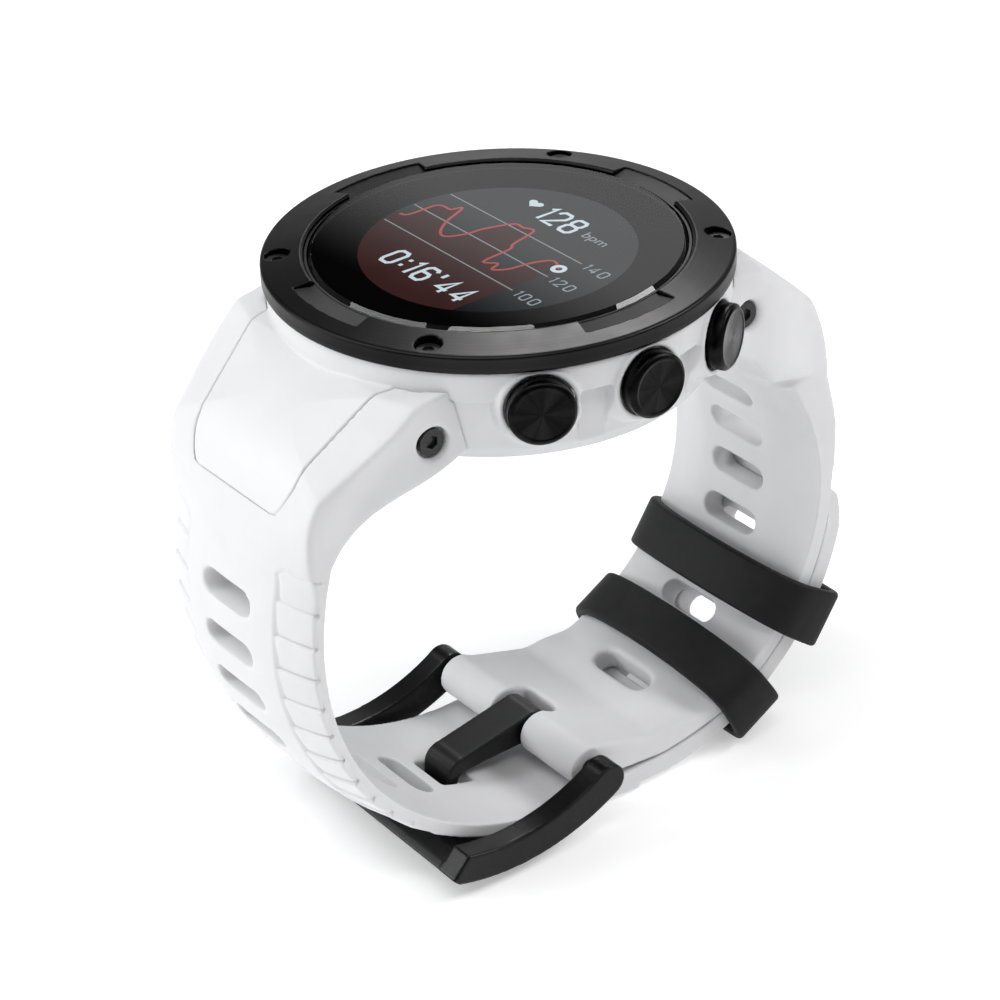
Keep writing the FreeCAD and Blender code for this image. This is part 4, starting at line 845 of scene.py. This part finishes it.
# each sign as strokes in a box one wide and one high
FIGURES = {
    "0": [[(0, .16), (0, .84), (.2, 1), (.8, 1), (1, .84), (1, .16), (.8, 0), (.2, 0), (0, .16)]],
    "1": [[(0, .82), (1, 1), (1, 0)]],
    "2": [[(0, .78), (0, .86), (.2, 1), (.8, 1), (1, .86), (1, .62), (0, 0), (1, 0)]],
    "4": [[(.72, 0), (.72, 1), (0, .26), (1, .26)]],
    "6": [[(1, .86), (.8, 1), (.2, 1), (0, .84), (0, .16), (.2, 0), (.8, 0), (1, .16), (1, .42), (.8, .57),
           (0, .57)]],
    "8": [[(.2, .54), (.03, .66), (.03, .88), (.2, 1), (.8, 1), (.97, .88), (.97, .66), (.8, .54), (.2, .54),
           (0, .42), (0, .13), (.2, 0), (.8, 0), (1, .13), (1, .42), (.8, .54)]],
    ":": [[(.5, .2), (.5, .36)], [(.5, .66), (.5, .82)]],
    "'": [[(.5, 1.05), (.5, .74)]],
}
NARROW = {"1": 0.3, ":": 0.05, "'": 0.05}


def readout(name, text, left, foot, height, width, gap, stroke, material):
    """Plain generic figures drawn as even strokes on the display."""
    verts, faces = [], []
    x = left
    for sign in text:
        wide = width * NARROW.get(sign, 1.0)
        for line in FIGURES[sign]:
            spots = [np.array((x + px * wide, foot + py * height)) for px, py in line]
            start = len(verts)
            for index, spot in enumerate(spots):
                into = spot - spots[index - 1] if index else spots[1] - spot
                out = spots[index + 1] - spot if index + 1 < len(spots) else into
                into, out = into / np.linalg.norm(into), out / np.linalg.norm(out)
                along = into + out
                along /= max(np.linalg.norm(along), 1e-6)
                mitre = 1.0 / max(float(along @ into), 0.6)
                side = np.array([-along[1], along[0]]) * stroke / 2.0 * mitre
                for z in (SCREEN_TOP, SCREEN_TOP - FIGURE_THICK):
                    verts.append((*(spot + side), z))
                    verts.append((*(spot - side), z))
            for index in range(len(spots) - 1):
                a = start + 4 * index
                faces += [(a, a + 1, a + 5, a + 4), (a + 2, a + 6, a + 7, a + 3), (a, a + 4, a + 6, a + 2),
                          (a + 1, a + 3, a + 7, a + 5)]
        x += wide + gap
    return settle(mesh_object(name, verts, faces, material, smooth=False), "watch", "display")


def lettering(name, text, low, high, material):
    """A small generic unit label fitted to a box on the display."""
    curve = bpy.data.curves.new(name + "_letters", "FONT")
    curve.body = text
    curve.resolution_u = 4
    letters = link(bpy.data.objects.new(name + "_letters", curve))
    graph = bpy.context.evaluated_depsgraph_get()
    mesh = bpy.data.meshes.new_from_object(letters.evaluated_get(graph))
    bpy.data.objects.remove(letters)
    points = get_points(mesh)
    span = points.max(0) - points.min(0)
    flat = (points - points.min(0)) / np.where(span > 0.0, span, 1.0)
    points[:, 0] = low[0] + flat[:, 0] * (high[0] - low[0])
    points[:, 1] = low[1] + flat[:, 1] * (high[1] - low[1])
    points[:, 2] = SCREEN_TOP
    set_points(mesh, points * MM)
    mesh.name = name
    mesh.materials.clear()
    mesh.materials.append(material)
    return settle(link(bpy.data.objects.new(name, mesh)), "watch", "display")


def smooth_line(corners, per_span=4):
    """The corners joined by a gently rounded line."""
    padded = [corners[0]] + corners + [corners[-1]]
    line = []
    for before, start, end, after in zip(padded, padded[1:], padded[2:], padded[3:]):
        before, start, end, after = (np.array(point, float) for point in (before, start, end, after))
        for part in range(per_span):
            line.append(tuple(rounded_span(before, start, end, after, part / per_span)))
    return line + [corners[-1]]


plate("screen", circle(SCREEN_RADIUS), SCREEN_TOP - 0.06, 0.05, SCREEN)
band("screen_border", circle(BORDER_RADIUS), circle(SCREEN_RADIUS), SCREEN_TOP, 0.1, MASK)

# a heart-rate chart: a warm area under its trace, three scale lines with figures, and a marker at its end
CHART_TRACE = [(-12.6, -2.6), (-11.8, -2.1), (-11.7, 0.9), (-11.1, 1.6), (-9.9, 1.7), (-9.4, 2.8), (-8.0, -0.2),
               (-6.5, -2.1), (-5.3, -2.3), (-4.4, -0.4), (-4.2, 1.4), (-3.1, 4.3), (-1.8, 4.5), (-0.5, 4.8),
               (0.4, 1.6), (1.1, 0.6), (1.5, -2.9), (2.8, -2.1), (3.4, -3.3), (4.4, -2.1), (4.9, 0.5),
               (5.9, 2.2), (7.6, 1.5)]
MARKER = CHART_TRACE[-1]
trace_line = smooth_line(CHART_TRACE)
fill_start = -math.acos(MARKER[0] / SCREEN_RADIUS)
fill_end = -math.asin(CHART_TRACE[0][1] / SCREEN_RADIUS) - math.pi
rim_points = [(SCREEN_RADIUS * math.cos(a), SCREEN_RADIUS * math.sin(a))
              for a in np.linspace(fill_start, fill_end, 48)]
plate("chart_fill", trace_line + rim_points, SCREEN_TOP - 0.035, LINE_THICK, WARM)
ribbon("chart_trace", trace_line, 0.30, SCREEN_TOP - 0.012, TRACE)
for figure, height in (("140", 3.8), ("120", -0.3), ("100", -4.5)):
    left_end = -math.sqrt(SCREEN_RADIUS ** 2 - height ** 2) + 0.25
    ribbon("scale_line_" + figure, [(left_end, height), (8.2, height)], 0.16, SCREEN_TOP - 0.02, LINES)
    readout("scale_" + figure, figure, 8.95, height - 0.6, 1.2, 0.75, 0.6, 0.17, DIM_DIGITS)
band("chart_marker", circle(0.82, 40, *MARKER), circle(0.34, 40, *MARKER), SCREEN_TOP, ICON_THICK, DIGITS)
readout("elapsed_time", "0:16'44", -5.7, -10.0, 2.75, 1.45, 0.98, 0.42, DIGITS)
readout("heart_rate", "128", -3.1, 6.8, 2.85, 1.5, 0.85, 0.42, DIGITS)
lettering("heart_rate_unit", "bpm", (3.4, 7.1), (6.7, 8.7), DIM_DIGITS)
heart = [(0.95 * math.sin(t) ** 3, 0.78 * (0.8125 * math.cos(t) - 0.3125 * math.cos(2 * t)
                                           - 0.125 * math.cos(3 * t) - 0.0625 * math.cos(4 * t)))
         for t in np.linspace(0.0, 2.0 * math.pi, 40, endpoint=False)]
plate("heart_icon", [(x - 5.3, y + 8.7) for x, y in heart], SCREEN_TOP, ICON_THICK, DIGITS)
